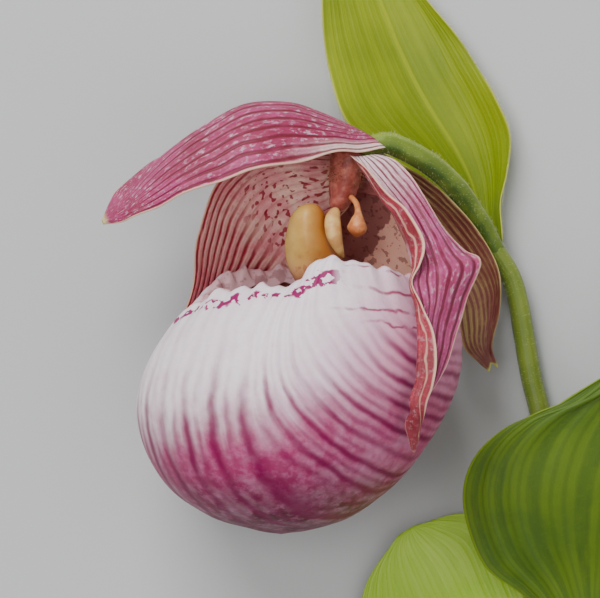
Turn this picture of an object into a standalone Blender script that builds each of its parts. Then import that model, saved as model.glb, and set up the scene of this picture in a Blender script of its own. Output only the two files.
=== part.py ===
"""Lady's slipper orchid flower on a cut leafy stem, lying down, as separate named pieces.

Lengths are millimetres. X runs to the right and Y up as the flower is seen from the
front-left, Z points up from the surface it lies on. The origin is the flat spot under the
pouch. Each blade is a net of control points: one row per station along the blade, five points
across it from one margin to the other. Change a row to change the blade there. Points inside
seen(...) were placed by eye on the photo: pixels from its left and top edges, then the height
in millimetres. The other points were placed in millimetres.
"""
import math

import bmesh
import bpy
from mathutils import Vector

MM = 0.001

# Thickness of each kind of blade, in millimetres.
SEPAL_THICKNESS = 0.7
PETAL_THICKNESS = 0.6
LEAF_THICKNESS = 0.7
STAMINODE_THICKNESS = 1.2

# Steps along and across the blades.
BLADE_STEPS_ALONG = 22
BLADE_STEPS_ACROSS = 10
NEAR_PETAL_STEPS_ALONG = 34
NEAR_PETAL_STEPS_ACROSS = 12
STAMINODE_STEPS_ALONG = 10
STAMINODE_STEPS_ACROSS = 8
STALK_STEPS = 3              # steps of a round stalk, between two points and round a quarter

# Pouch: inflated bag with an open mouth at the top, rim turned in.
POUCH_WALL = 0.9
POUCH_STEPS_ROUND = 40
POUCH_STEPS_UP = 22
POUCH_RIM_RISE = 6.0        # how far the front and back of the mouth stand above its ends
POUCH_LUG_RISE = 17.3       # the side of the mouth that reaches up to the base of the sepals
POUCH_LUG_LEAN = (-2.4, 4.5)  # how far its tip leans in x and z
POUCH_LUG_DIRECTION = -45.0  # degrees round the mouth from +X toward +Z
POUCH_LUG_SPREAD = (36.0, 24.0)  # degrees to its left, where it is square, and to its right
POUCH_BACK_LIFT = 2.8       # the rolled rim at the back left stands higher
POUCH_BACK_DIRECTION = -137.0
POUCH_BACK_SPREAD = 20.0
POUCH_LUG_FROM = 0.1        # share of the rim's rise at which lug and back lift begin
POUCH_RUFFLE = 0.35         # small waves along the turned-in rim
POUCH_RUFFLE_WAVES = 13.0   # waves once round the mouth
POUCH_RUFFLE_FROM = 0.85    # share of the rim's rise above which it is ruffled

PHOTO_PIXEL = 0.17           # real size of one photo pixel at the flower, in millimetres
PHOTO_ORIGIN = (300, 400)    # the photo pixel over the origin
PLACE_DIGITS = 1             # places are kept to a tenth of a millimetre


def seen(*points):
    """Points placed on the photo, as millimetres in the part's frame."""
    left, top = PHOTO_ORIGIN
    return [(round((across - left) * PHOTO_PIXEL, PLACE_DIGITS),
             round((top - down) * PHOTO_PIXEL, PLACE_DIGITS), height)
            for across, down, height in points]


# Blades, one net of rows each.
DORSAL_SEPAL_ROWS = [
    seen((366, 146, 17.0), (364, 136, 17.8), (362, 131, 20.5), (372, 136, 24.6), (386, 147, 25.9)),
    seen((350, 143, 13.0), (350, 132, 15.0), (349, 125, 20.0), (352, 134, 24.8), (358, 151, 27.0)),
    seen((328, 141, 10.5), (326, 121, 14.0), (324, 114, 20.5), (326, 130, 26.5), (328, 154, 29.2)),
    seen((296, 145, 9.5), (293, 115, 13.5), (290, 103, 21.5), (292, 125, 28.0), (294, 163, 31.0)),
    seen((256, 150, 10.5), (250, 115, 15.0), (246, 105, 22.5), (248, 130, 29.5), (250, 171, 32.5)),
    seen((222, 160, 13.0), (214, 128, 17.0), (208, 124, 23.5), (210, 150, 30.0), (212, 184, 32.5)),
    seen((188, 158, 16.0), (180, 147, 19.0), (173, 149, 24.5), (176, 172, 30.0), (178, 197, 32.0)),
    seen((150, 162, 19.0), (148, 166, 21.5), (147, 174, 25.0), (149, 192, 29.0), (150, 210, 30.5)),
    seen((119, 187, 23.0), (121, 193, 24.5), (124, 200, 26.0), (127, 210, 28.0), (128, 220, 29.0)),
    seen((101, 220, 26.0), (101.5, 221, 26.0), (102, 222, 26.1), (102.5, 223, 26.2), (103, 224, 26.3)),
]

NEAR_PETAL_ROWS = [
    seen((350, 155, 26.6), (354, 156, 26.2), (362, 156, 26.0), (370, 155, 26.0), (378, 154, 26.2)),
    seen((368, 170, 31.0), (364, 171, 29.6), (372, 168, 28.8), (384, 164, 28.9), (395, 160, 29.3)),
    seen((389, 195, 34.5), (381, 198, 32.8), (390, 190, 31.2), (401, 184, 31.3), (411, 176, 31.0)),
    seen((407, 211, 37.5), (396, 217, 35.4), (405, 210, 33.4), (415, 202, 33.2), (424, 196, 32.5)),
    seen((423, 240, 41.0), (408, 243, 38.4), (418, 236, 35.8), (430, 226, 35.2), (440, 224, 33.5)),
    seen((419, 265, 42.5), (413, 267, 41.0), (426, 262, 38.8), (444, 255, 37.2), (464, 250, 34.2)),
    seen((411, 284, 43.5), (410, 285, 42.7), (426, 280, 41.2), (451, 271, 39.0), (480, 263, 35.5)),
    seen((421, 306, 45.2), (415, 307, 44.0), (429, 301, 42.2), (446, 294, 40.5), (466, 300, 37.5)),
    seen((432, 330, 46.6), (417, 331, 45.4), (425, 330, 43.3), (438, 327, 41.4), (457, 328, 38.6)),
    seen((435, 361, 47.2), (417, 358, 46.3), (424, 357, 44.5), (434, 356, 42.8), (448, 358, 41.3)),
    seen((432, 384, 47.2), (415, 381, 46.8), (421, 382, 45.5), (428, 382, 44.5), (437, 380, 43.6)),
    seen((426, 401, 46.6), (410, 400, 47.0), (413, 401, 46.0), (417, 401, 45.2), (422, 401, 44.4)),
    seen((422, 418, 45.4), (415, 418, 46.2), (410, 418, 46.0), (407, 418, 45.2), (405, 418, 44.3)),
    seen((418, 434, 43.6), (415, 434, 44.1), (412, 434, 44.1), (409, 434, 43.7), (407, 434, 43.2)),
    seen((414.5, 449, 41.3), (414, 450, 41.3), (413.3, 450.5, 41.3), (412.5, 450.5, 41.2), (412, 450, 41.1)),
]

FAR_PETAL_ROWS = [
    [(7.2, 41.8, 18.6), (7.7, 41.2, 19.0), (8.2, 40.6, 19.0), (8.6, 40.3, 18.9), (9.1, 39.9, 18.7)],
    seen((322, 146, 16.8), (324, 160, 15.6), (328, 175, 14.6), (336, 190, 13.9), (350, 204, 13.6)),
    [*seen((284, 141, 16.0), (285, 160, 14.0), (290, 182, 12.3)), (0.2, 33.0, 11.0), (3.4, 28.6, 10.4)],
    [*seen((246, 152, 15.0), (252, 172, 12.8), (262, 195, 10.6)), (-3.6, 30.0, 8.8), (0.2, 25.2, 8.0)],
    [*seen((212, 188, 13.6), (224, 204, 11.0), (240, 226, 8.6)), (-6.8, 25.2, 6.5), (-3.2, 21.6, 5.0)],
    [*seen((197, 232, 12.0), (211, 248, 9.2), (226, 264, 7.0)), (-9.8, 20.3, 5.0), (-7.0, 17.8, 4.0)],
    seen((193, 272, 11.5), (204, 284, 8.6), (216, 296, 6.4), (229, 308, 4.6), (240, 319, 3.4)),
    seen((184, 308, 11.0), (192, 318, 8.4), (202, 328, 6.2), (213, 337, 4.3), (223, 345, 3.0)),
    seen((175, 340, 9.5), (181, 348, 7.4), (188, 356, 5.6), (196, 363, 4.2), (204, 369, 3.3)),
    seen((169, 370, 7.5), (173, 376, 6.2), (177, 382, 5.2), (181, 388, 4.4), (186, 394, 4.0)),
    seen((168, 398, 5.6), (169, 399.5, 5.5), (170, 401, 5.4), (171, 402, 5.4), (172, 403, 5.3)),
]

SYNSEPAL_ROWS = [
    seen((394, 160, 18.2), (391, 162, 17.6), (389, 164, 17.0), (387, 166, 16.5), (385, 168, 16.0)),
    seen((418, 173, 16.0), (412, 178, 14.8), (405, 184, 13.5), (398, 189, 12.8), (391, 193, 12.4)),
    seen((444, 190, 14.2), (435, 198, 12.6), (424, 208, 11.0), (413, 218, 10.0), (404, 226, 9.8)),
    seen((467, 213, 12.4), (458, 222, 10.6), (445, 234, 9.0), (431, 246, 8.4), (420, 255, 8.8)),
    seen((486, 240, 10.8), (478, 249, 9.3), (466, 260, 8.2), (452, 271, 8.0), (440, 280, 8.8)),
    seen((500, 266, 10.4), (493, 274, 9.3), (483, 283, 8.5), (470, 293, 8.7), (456, 303, 10.0)),
    seen((504, 285, 10.4), (498, 292, 9.4), (488, 300, 8.8), (475, 309, 9.2), (460, 318, 10.6)),
    seen((502, 308, 10.0), (497, 313, 9.2), (489, 320, 8.9), (476, 327, 9.4), (461, 333, 10.6)),
    seen((497, 331, 9.6), (493, 335, 9.1), (487, 340, 9.0), (477, 346, 9.5), (467, 350, 10.4)),
    seen((495, 350, 9.6), (493, 353, 9.3), (490, 357, 9.3), (486, 360, 9.5), (481, 363, 9.8)),
    seen((501, 368, 9.9), (498, 367, 9.7), (494, 365, 9.5), (493, 370, 9.5), (492, 373, 9.7)),
]

BRACT_ROWS = [
    [(31.0, 27.2, 4.6), (31.7, 26.9, 3.8), (32.8, 26.7, 3.5), (33.9, 26.9, 3.7), (35.0, 27.2, 4.8)],
    seen((462, 214, 5.2), (472, 215, 2.8), (484, 214, 1.0), (497, 210, 1.8), (505, 204, 4.6)),
    seen((435, 187, 7.2), (452, 183, 3.8), (474, 178, 0.9), (495, 173, 1.6), (510, 168, 5.2)),
    seen((400, 160, 9.2), (425, 151, 4.8), (455, 141, 1.3), (486, 133, 2.0), (513, 129, 5.6)),
    seen((362, 134, 10.0), (393, 118, 5.5), (432, 105, 1.7), (470, 97, 2.2), (500, 94, 5.4)),
    seen((342, 112, 9.6), (375, 91, 5.6), (414, 73, 2.0), (450, 62, 2.4), (480, 63, 4.8)),
    seen((330, 68, 8.2), (360, 50, 5.0), (396, 33, 2.1), (430, 23, 2.3), (458, 29, 4.2)),
    seen((323, 20, 6.6), (348, 6, 4.2), (378, -12, 2.1), (405, -18, 2.2), (428, -8, 3.6)),
    seen((322, -30, 4.8), (340, -40, 3.4), (360, -50, 2.1), (379, -54, 2.2), (395, -46, 3.0)),
    seen((328, -80, 3.2), (338, -86, 2.6), (350, -91, 2.0), (361, -93, 2.0), (370, -88, 2.4)),
    seen((341, -128, 1.8), (343, -129, 1.8), (345, -130, 1.8), (347, -130, 1.8), (349, -129, 1.8)),
]

LEAF_UPPER_ROWS = [
    seen((584, 668, 4.7), (588, 672, 5.1), (593, 674, 5.3), (598, 672, 5.2), (603, 668, 4.8)),
    seen((560, 630, 7.0), (580, 634, 7.4), (604, 632, 7.4), (628, 624, 6.8), (648, 612, 5.6)),
    seen((522, 594, 9.0), (560, 590, 9.6), (615, 580, 9.4), (668, 572, 6.8), (712, 560, 3.0)),
    seen((484, 565, 11.0), (535, 547, 13.0), (628, 530, 12.8), (712, 530, 8.2), (765, 515, 2.0)),
    seen((464, 508, 13.5), (525, 497, 16.0), (642, 480, 15.8), (742, 480, 9.8), (800, 460, 0.6)),
    seen((474, 462, 15.5), (535, 450, 18.0), (657, 430, 17.8), (750, 428, 10.8), (808, 405, 0.5)),
    seen((508, 427, 18.0), (565, 415, 20.0), (674, 382, 18.8), (752, 378, 11.8), (800, 352, 1.2)),
    seen((560, 407, 20.5), (612, 388, 21.5), (694, 336, 18.8), (755, 330, 12.8), (790, 305, 4.0)),
    seen((615, 370, 22.0), (655, 345, 21.5), (718, 292, 17.8), (757, 288, 13.0), (782, 268, 8.0)),
    seen((690, 310, 20.0), (708, 292, 19.0), (745, 255, 16.2), (765, 252, 14.0), (778, 240, 11.5)),
    seen((769, 228, 13.0), (770, 227, 13.0), (771, 226, 13.0), (772, 225, 13.0), (773, 224, 13.0)),
]

LEAF_LOWER_ROWS = [
    seen((598, 888, 4.9), (602, 886, 5.1), (607, 884, 5.2), (612, 882, 5.1), (616, 880, 4.8)),
    seen((560, 872, 4.4), (575, 860, 5.2), (590, 850, 5.6), (600, 838, 5.6), (606, 824, 5.3)),
    seen((500, 850, 1.8), (530, 830, 3.2), (555, 810, 4.4), (575, 785, 5.2), (590, 758, 5.6)),
    seen((440, 815, 0.6), (480, 785, 1.8), (515, 757, 3.2), (545, 725, 4.4), (567, 690, 4.9)),
    seen((395, 765, 0.5), (435, 732, 1.5), (475, 700, 2.6), (512, 665, 3.3), (540, 630, 3.4)),
    seen((368, 705, 0.6), (403, 672, 1.6), (442, 640, 2.4), (482, 606, 2.9), (518, 574, 3.0)),
    seen((359, 645, 1.2), (385, 618, 2.0), (418, 590, 2.6), (458, 558, 3.0), (503, 522, 3.0)),
    seen((367, 590, 1.9), (384, 574, 2.4), (406, 555, 2.8), (432, 537, 3.0), (462, 517, 3.0)),
    seen((398, 541, 2.8), (402, 538, 2.8), (408, 534, 2.9), (415, 530, 2.9), (422, 528, 2.9)),
]

STAMINODE_ROWS = [
    seen((300, 208, 24.6), (304, 206, 25.2), (309, 205, 25.4), (314, 205, 25.0), (318, 207, 24.2)),
    seen((292, 217, 23.8), (298, 215, 25.8), (307, 213, 26.8), (317, 213, 25.8), (324, 216, 23.8)),
    seen((288, 230, 23.4), (296, 229, 26.2), (307, 228, 27.4), (319, 229, 26.0), (328, 233, 23.2)),
    seen((286, 245, 23.2), (296, 245, 26.0), (309, 245, 27.2), (324, 246, 25.8), (336, 247, 22.8)),
    seen((287, 258, 23.2), (297, 259, 25.6), (311, 260, 26.6), (328, 260, 25.2), (341, 257, 22.6)),
    seen((291, 271, 23.4), (299, 273, 25.2), (312, 275, 25.9), (326, 273, 24.8), (338, 269, 22.8)),
    seen((298, 282, 23.8), (303, 284, 24.4), (311, 285, 24.6), (319, 284, 24.3), (327, 280, 23.6)),
]


# Rows from the bottom of the pouch to the turned-in rim:
# (left end x, left end y, right end x, right end y, half depth in z, centre z, share of rim rise)
POUCH_ROWS = [
    (-7.5, -22.2, 1.5, -22.2, 4.5, 25.0, 0.0),
    (-15.0, -20.0, 8.5, -20.0, 12.0, 25.0, 0.0),
    (-21.7, -15.6, 16.2, -14.4, 19.0, 25.0, 0.0),
    (-25.8, -9.9, 21.8, -7.5, 23.2, 25.0, 0.0),
    (-27.8, -3.2, 25.7, -0.6, 25.1, 25.0, 0.0),
    (-27.4, 2.3, 27.4, 5.0, 25.35, 25.0, 0.0),
    (-25.4, 7.6, 27.6, 10.5, 24.2, 25.0, 0.12),
    (-22.6, 11.8, 26.4, 15.3, 21.9, 25.0, 0.5),
    (-20.0, 14.6, 24.2, 18.4, 19.2, 24.8, 0.9),
    (-18.3, 15.3, 22.6, 19.4, 17.6, 24.7, 1.0),
    (-17.0, 14.6, 21.2, 18.9, 16.2, 24.6, 0.98),
    (-16.3, 12.8, 20.4, 17.4, 15.4, 24.6, 0.9),
]
POUCH_POLE = (-3.2, -22.9, 25.0)

# Rows (x, y, z) of the column and its parts, with the radius at each point.
OVARY_PATH = [
    (8.6, 43.5, 21.8),
    *seen((366, 146, 21.6), (385, 142, 21.2), (400, 146, 20.3), (424, 158, 17.8)),
    *seen((444, 173, 15.2), (461, 190, 12.4), (474, 208, 9.7), (486, 226, 7.3), (496, 245, 5.7)),
]

STEM_PATH = [
    (33.56, 25.86, 5.46),
    (36.3, 21.4, 4.0),
    *seen((522, 300, 3.5), (529, 340, 2.9), (536, 380, 2.6)),
    *seen((544, 413, 2.5), (556, 470, 2.4), (568, 540, 2.35), (578, 598, 2.3), (588, 650, 2.25)),
    *seen((596, 700, 2.2), (603, 780, 2.15), (607, 880, 2.1), (609, 980, 2.05)),
]

COLUMN_PATH = [
    (8.3, 41.8, 22.6),
    (7.9, 38.8, 22.4),
    (7.3, 35.7, 22.3),
    (6.4, 33.9, 22.6),
    (5.1, 33.0, 22.9),
]

STIGMA_PATH = [
    (6.3, 32.8, 24.9),
    (5.6, 30.8, 26.0),
    (5.8, 28.2, 26.9),
    (6.6, 25.8, 26.7),
    (7.5, 24.2, 26.0),
]

ANTHER_NEAR_PATH = [
    (8.7, 34.6, 24.0),
    (9.6, 33.5, 25.5),
    (9.9, 31.9, 26.7),
    (9.8, 30.5, 27.1),
    (9.7, 29.1, 27.1),
    (9.5, 27.7, 26.9),
]

ANTHER_FAR_PATH = [
    (6.2, 33.6, 20.4),
    (5.6, 32.2, 18.6),
    (5.0, 30.6, 17.4),
    (4.6, 29.2, 17.0),
    (4.4, 28.4, 16.9),
]

# Radius of each stalk at the points of its path, in millimetres.
COLUMN_RADII = [2.9, 2.8, 2.4, 1.8, 1.0]
STIGMA_RADII = [0.6, 1.25, 1.3, 0.8, 0.3]
ANTHER_NEAR_RADII = [0.5, 0.5, 0.6, 1.25, 1.65, 0.5]
ANTHER_FAR_RADII = [0.5, 0.6, 1.4, 1.0, 0.4]
OVARY_RADII = [1.35, 1.6, 1.75, 1.85, 1.9, 1.9, 1.9, 1.85, 1.8, 1.75]
STEM_RADII = [1.7, 1.75, 1.75, 1.8, 1.8, 1.8, 1.85, 1.85, 1.85, 1.9, 1.9, 1.95, 2.0, 2.0]


def clear_scene():
    """Removes whatever the opened scene holds."""
    for item in list(bpy.data.objects):
        bpy.data.objects.remove(item, do_unlink=True)


def material(name, colour, roughness):
    """Plain coloured material."""
    made = bpy.data.materials.new(name)
    made.use_nodes = True
    shader = made.node_tree.nodes["Principled BSDF"]
    shader.inputs["Base Color"].default_value = (*colour, 1.0)
    shader.inputs["Roughness"].default_value = roughness
    return made


def spline_point(points, place):
    """Point on the smooth curve through all the given points; place runs from 0 to 1."""
    spans = len(points) - 1
    scaled = min(max(place, 0.0), 1.0) * spans
    index = min(int(scaled), spans - 1)
    t = scaled - index
    b = points[index]
    c = points[index + 1]
    a = points[index - 1] if index > 0 else b * 2 - c
    d = points[index + 2] if index + 2 <= spans else c * 2 - b
    bend = (a * -1 + b * 3 - c * 3 + d) * t ** 3
    curve = (a * 2 - b * 5 + c * 4 - d) * t ** 2
    return (bend + curve + (c - a) * t + b * 2) * 0.5


def blade_grid(rows, steps_along, steps_across):
    """Grid of points on the smooth surface through the control rows."""
    vectors = [[Vector(point) for point in row] for row in rows]
    grid = []
    for i in range(steps_along + 1):
        along = i / steps_along
        rails = [spline_point([row[k] for row in vectors], along) for k in range(len(rows[0]))]
        grid.append([spline_point(rails, j / steps_across) for j in range(steps_across + 1)])
    return grid


def grid_triangles(lines, across, closed):
    """Triangles of a grid with the given number of lines and points across each line."""
    faces = []
    spans = across if closed else across - 1
    for i in range(lines - 1):
        for j in range(spans):
            a = i * across + j
            b = i * across + (j + 1) % across
            c = a + across
            d = b + across
            faces.append((a, b, d))
            faces.append((a, d, c))
    return faces


def new_object(name, points, faces, collection, made_of):
    """Mesh object from points in millimetres."""
    mesh = bpy.data.meshes.new(name)
    mesh.from_pydata([tuple(coordinate * MM for coordinate in point) for point in points], [], faces)
    mesh.update()
    item = bpy.data.objects.new(name, mesh)
    item.data.materials.append(made_of)
    collection.objects.link(item)
    return item


def thicken(item, thickness, offset):
    """Gives an open surface its thickness."""
    shell = item.modifiers.new("thickness", "SOLIDIFY")
    shell.thickness = thickness * MM
    shell.offset = offset
    shell.use_even_offset = False
    shell.use_rim = True
    return shell


def build_blade(name, rows, thickness, steps, collection, made_of):
    """Petal, sepal, bract or leaf: a smooth sheet through its control rows."""
    grid = blade_grid(rows, steps[0], steps[1])
    points = [point for line in grid for point in line]
    faces = grid_triangles(len(grid), len(grid[0]), False)
    item = new_object(name, points, faces, collection, made_of)
    thicken(item, thickness, 0.0)
    return item


def turn_from(angle, direction):
    """Degrees from a direction to an angle given in radians, from -180 to 180."""
    return (math.degrees(angle) - direction + 180.0) % 360.0 - 180.0


def pouch_point(row, angle):
    """Point of the pouch at one height row and one direction round it."""
    left_x, left_y, right_x, right_y, depth, centre_z, rise = row
    side = math.cos(angle)
    front = math.sin(angle)
    x = (left_x + right_x) / 2 + (right_x - left_x) / 2 * side
    y = (left_y + right_y) / 2 + (right_y - left_y) / 2 * side
    z = centre_z + depth * front
    y += POUCH_RIM_RISE * rise * front * front
    reach = max(rise - POUCH_LUG_FROM, 0.0) / (1.0 - POUCH_LUG_FROM)
    turn = turn_from(angle, POUCH_LUG_DIRECTION)
    if turn < 0.0:
        lug = math.exp(-(turn / POUCH_LUG_SPREAD[0]) ** 4) * reach
    else:
        lug = math.exp(-(turn / POUCH_LUG_SPREAD[1]) ** 2) * reach
    y += POUCH_LUG_RISE * lug
    back = turn_from(angle, POUCH_BACK_DIRECTION)
    y += POUCH_BACK_LIFT * math.exp(-(back / POUCH_BACK_SPREAD) ** 2) * reach
    x += POUCH_LUG_LEAN[0] * lug * lug
    z += POUCH_LUG_LEAN[1] * lug * lug
    if rise > POUCH_RUFFLE_FROM:
        y += POUCH_RUFFLE * math.sin(angle * POUCH_RUFFLE_WAVES) * (1.0 - lug)
    return Vector((x, y, z))


def build_pouch(collection, made_of):
    """Hollow pouch, pressed flat where it rests on the table."""
    ring_count = POUCH_STEPS_UP + 1
    columns = []
    for j in range(POUCH_STEPS_ROUND):
        angle = 2.0 * math.pi * j / POUCH_STEPS_ROUND
        profile = [Vector(POUCH_POLE)] + [pouch_point(row, angle) for row in POUCH_ROWS]
        columns.append([spline_point(profile, (i + 1) / ring_count) for i in range(ring_count)])
    points = [Vector(POUCH_POLE)]
    for i in range(ring_count):
        points.extend(columns[j][i] for j in range(POUCH_STEPS_ROUND))
    for point in points:
        point.z = max(point.z, 0.0)
    faces = []
    for j in range(POUCH_STEPS_ROUND):
        faces.append((0, 1 + (j + 1) % POUCH_STEPS_ROUND, 1 + j))
    for a, b, c in grid_triangles(ring_count, POUCH_STEPS_ROUND, True):
        faces.append((a + 1, b + 1, c + 1))
    item = new_object("pouch", points, faces, collection, made_of)
    work = bmesh.new()
    work.from_mesh(item.data)
    bmesh.ops.recalc_face_normals(work, faces=work.faces)
    work.to_mesh(item.data)
    work.free()
    thicken(item, POUCH_WALL, -1.0)
    return item


def build_tube(name, path, radii, collection, made_of):
    """Round stalk along a path, thicker or thinner along its length."""
    curve = bpy.data.curves.new(name, "CURVE")
    curve.dimensions = "3D"
    curve.bevel_depth = MM
    curve.bevel_resolution = STALK_STEPS
    curve.use_fill_caps = True
    curve.resolution_u = STALK_STEPS
    line = curve.splines.new("BEZIER")
    line.bezier_points.add(len(path) - 1)
    for knot, place, radius in zip(line.bezier_points, path, radii):
        knot.co = Vector(place) * MM
        knot.handle_left_type = "AUTO"
        knot.handle_right_type = "AUTO"
        knot.radius = radius
    item = bpy.data.objects.new(name, curve)
    item.data.materials.append(made_of)
    collection.objects.link(item)
    return item


def main():
    """Builds every piece."""
    clear_scene()
    plant = bpy.data.collections.new("cypripedium_orchid")
    bpy.context.scene.collection.children.link(plant)
    usual = (BLADE_STEPS_ALONG, BLADE_STEPS_ACROSS)
    fine = (NEAR_PETAL_STEPS_ALONG, NEAR_PETAL_STEPS_ACROSS)
    shield = (STAMINODE_STEPS_ALONG, STAMINODE_STEPS_ACROSS)
    build_pouch(plant, material("pouch_skin", (0.66, 0.42, 0.52), 0.45))
    build_blade("dorsal_sepal", DORSAL_SEPAL_ROWS, SEPAL_THICKNESS, usual, plant,
                material("dorsal_sepal_skin", (0.5, 0.12, 0.25), 0.5))
    build_blade("petal_near", NEAR_PETAL_ROWS, PETAL_THICKNESS, fine, plant,
                material("petal_near_skin", (0.5, 0.12, 0.25), 0.5))
    build_blade("petal_far", FAR_PETAL_ROWS, PETAL_THICKNESS, usual, plant,
                material("petal_far_skin", (0.5, 0.15, 0.2), 0.5))
    build_blade("synsepal", SYNSEPAL_ROWS, SEPAL_THICKNESS, usual, plant,
                material("synsepal_skin", (0.3, 0.15, 0.06), 0.5))
    build_blade("staminode", STAMINODE_ROWS, STAMINODE_THICKNESS, shield, plant,
                material("staminode_skin", (0.7, 0.5, 0.2), 0.4))
    build_blade("bract", BRACT_ROWS, LEAF_THICKNESS, usual, plant,
                material("bract_skin", (0.28, 0.37, 0.05), 0.5))
    build_blade("leaf_upper", LEAF_UPPER_ROWS, LEAF_THICKNESS, usual, plant,
                material("leaf_upper_skin", (0.11, 0.19, 0.02), 0.5))
    build_blade("leaf_lower", LEAF_LOWER_ROWS, LEAF_THICKNESS, usual, plant,
                material("leaf_lower_skin", (0.3, 0.4, 0.1), 0.5))
    build_tube("column", COLUMN_PATH, COLUMN_RADII, plant,
               material("column_skin", (0.45, 0.1, 0.08), 0.5))
    build_tube("stigma", STIGMA_PATH, STIGMA_RADII, plant,
               material("stigma_skin", (0.75, 0.6, 0.3), 0.4))
    build_tube("anther_near", ANTHER_NEAR_PATH, ANTHER_NEAR_RADII, plant,
               material("anther_near_skin", (0.6, 0.25, 0.1), 0.5))
    build_tube("anther_far", ANTHER_FAR_PATH, ANTHER_FAR_RADII, plant,
               material("anther_far_skin", (0.6, 0.25, 0.1), 0.5))
    build_tube("ovary", OVARY_PATH, OVARY_RADII, plant,
               material("ovary_skin", (0.12, 0.25, 0.03), 0.5))
    build_tube("stem", STEM_PATH, STEM_RADII, plant,
               material("stem_skin", (0.2, 0.27, 0.02), 0.5))


main()
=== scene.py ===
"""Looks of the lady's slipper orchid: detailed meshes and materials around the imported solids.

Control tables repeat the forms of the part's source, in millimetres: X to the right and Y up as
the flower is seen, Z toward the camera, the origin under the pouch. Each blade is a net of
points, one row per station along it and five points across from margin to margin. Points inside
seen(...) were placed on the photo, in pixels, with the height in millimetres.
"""
import math
import random

import bmesh
import bpy
import numpy as np
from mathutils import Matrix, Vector


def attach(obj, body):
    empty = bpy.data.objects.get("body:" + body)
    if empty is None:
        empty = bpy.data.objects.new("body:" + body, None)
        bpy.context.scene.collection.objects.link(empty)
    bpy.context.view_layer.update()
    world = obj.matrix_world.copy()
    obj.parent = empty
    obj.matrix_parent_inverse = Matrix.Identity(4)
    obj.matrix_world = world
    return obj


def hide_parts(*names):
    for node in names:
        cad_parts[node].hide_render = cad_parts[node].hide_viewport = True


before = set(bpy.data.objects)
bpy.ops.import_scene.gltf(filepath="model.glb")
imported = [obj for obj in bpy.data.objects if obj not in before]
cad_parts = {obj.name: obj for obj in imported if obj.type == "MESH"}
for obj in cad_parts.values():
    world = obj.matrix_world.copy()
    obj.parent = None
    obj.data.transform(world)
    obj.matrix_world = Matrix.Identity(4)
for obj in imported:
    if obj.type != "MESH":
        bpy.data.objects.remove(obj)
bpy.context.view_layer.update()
MM = 0.001

# Picture: long lens straight above the lying flower.
PHOTO_WIDTH = 102.0           # millimetres across the picture at the flower
CAMERA_HEIGHT = 1500.0
CAMERA_CENTRE = (0.0, 17.2)
FOCUS_HEIGHT = 30.0
SENSOR = 36.0

random.seed(7)

# Pouch, as in the part's source.
POUCH_RIM_RISE = 6.0        # how far the front and back of the mouth stand above its ends
POUCH_LUG_RISE = 17.3       # the side of the mouth that reaches up to the base of the sepals
POUCH_LUG_LEAN = (-2.4, 4.5)  # how far its tip leans in x and z
POUCH_LUG_DIRECTION = -45.0  # degrees round the mouth from +X toward +Z
POUCH_LUG_SPREAD = (36.0, 24.0)  # degrees to its left, where it is square, and to its right
POUCH_BACK_LIFT = 2.8       # the rolled rim at the back left stands higher
POUCH_BACK_DIRECTION = -137.0
POUCH_BACK_SPREAD = 20.0
POUCH_LUG_FROM = 0.1        # share of the rim's rise at which lug and back lift begin

# Pouch, finer than the part's source.
POUCH_STEPS = (288, 130)    # round it and up it
POUCH_WAVES_FROM = 0.4      # share of the rim's rise at which its waves begin
POUCH_WALL = 0.7            # millimetres
POUCH_LIP_TAPER = 1.6       # how fast the wall thins past the crest of the rim
POUCH_LABEL_TOP = 1.2       # height label of the innermost ring; the crest of the rim is 1
GROOVE_DEPTH = 0.035        # of the veins, in millimetres
VEIN_COUNT = 21             # veins in the span below
VEIN_SPAN = 80.0            # millimetres over which the veins are counted
VEIN_SHIFT = 1.0            # moves the veins sideways, in millimetres
VEIN_CENTRE = (29.0, 24.0)  # the near side's veins curve round this point
VEIN_TURN = math.radians(45.0)  # elsewhere they are slices across a line turned from X toward Z
VEIN_START = 66.0           # place of the first slice, in millimetres
VEIN_RATE = 0.7             # slices crowd together by this share
VEIN_BLEND = (27.0, 9.0)    # where the near side's veins begin, and over how many millimetres
COLUMN_TOP = (8.5, 42.7, 22.6)  # domed top of the column, under the upper sepal
COLUMN_TOP_RADIUS = 2.0
OVARY_END_RADIUS = 1.7      # where the ovary meets the stem

# Blades and stalks.
BLADE_END = 0.02            # share of a blade's length over which its ends thin out
BLADE_END_LEAST = 0.4       # share of the thickness left at the very end
BLADE_FULLNESS = 6          # the higher, the nearer to the margin a blade keeps its thickness
STALK_END_LEAST = 0.0006    # square of the share of the radius left at a rounded end
MERGE_DISTANCE = 1e-7       # metres

# Hairs, in millimetres.
MARGIN_NET = (240, 30)      # steps of the net on which the hairs of a margin are rooted
MARGIN_CLEAR = 6            # its lines at each end that bear no hairs
MARGIN_SCATTER = 0.6        # how far hairs stray from straight outward
STALK_HAIR_STEPS = 200      # steps of the path on which the hairs of a stalk are rooted
STALK_SCATTER = 0.5
HAIR_SINK = 0.1             # depth of a hair's root under the surface
HAIR_SHORTEST = 0.5         # share of the full length
HAIR_TIP_HEIGHT = 0.05      # least height of a tip above the floor
HAIR_ROOT_HEIGHT = 0.02
HAIR_SIDES = 3

# Studio: places and sizes in metres, power in watts.
LIGHT_AIM = (0.0, 0.01, 0.02)
LIGHTS = (
    ("key", (-0.25, 0.62, 0.62), 0.5, 9.0),
    ("fill", (0.5, -0.2, 0.7), 0.8, 2.0),
    ("front", (-0.28, 0.02, 1.1), 0.45, 4.5),
)
FLOOR_REACH = 3.0
FLOOR_DROP = 0.0002         # keeps the floor just under the flower
SURROUND_COLOUR = (1.0, 0.98, 0.95, 1.0)
SURROUND_STRENGTH = 0.42

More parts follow.
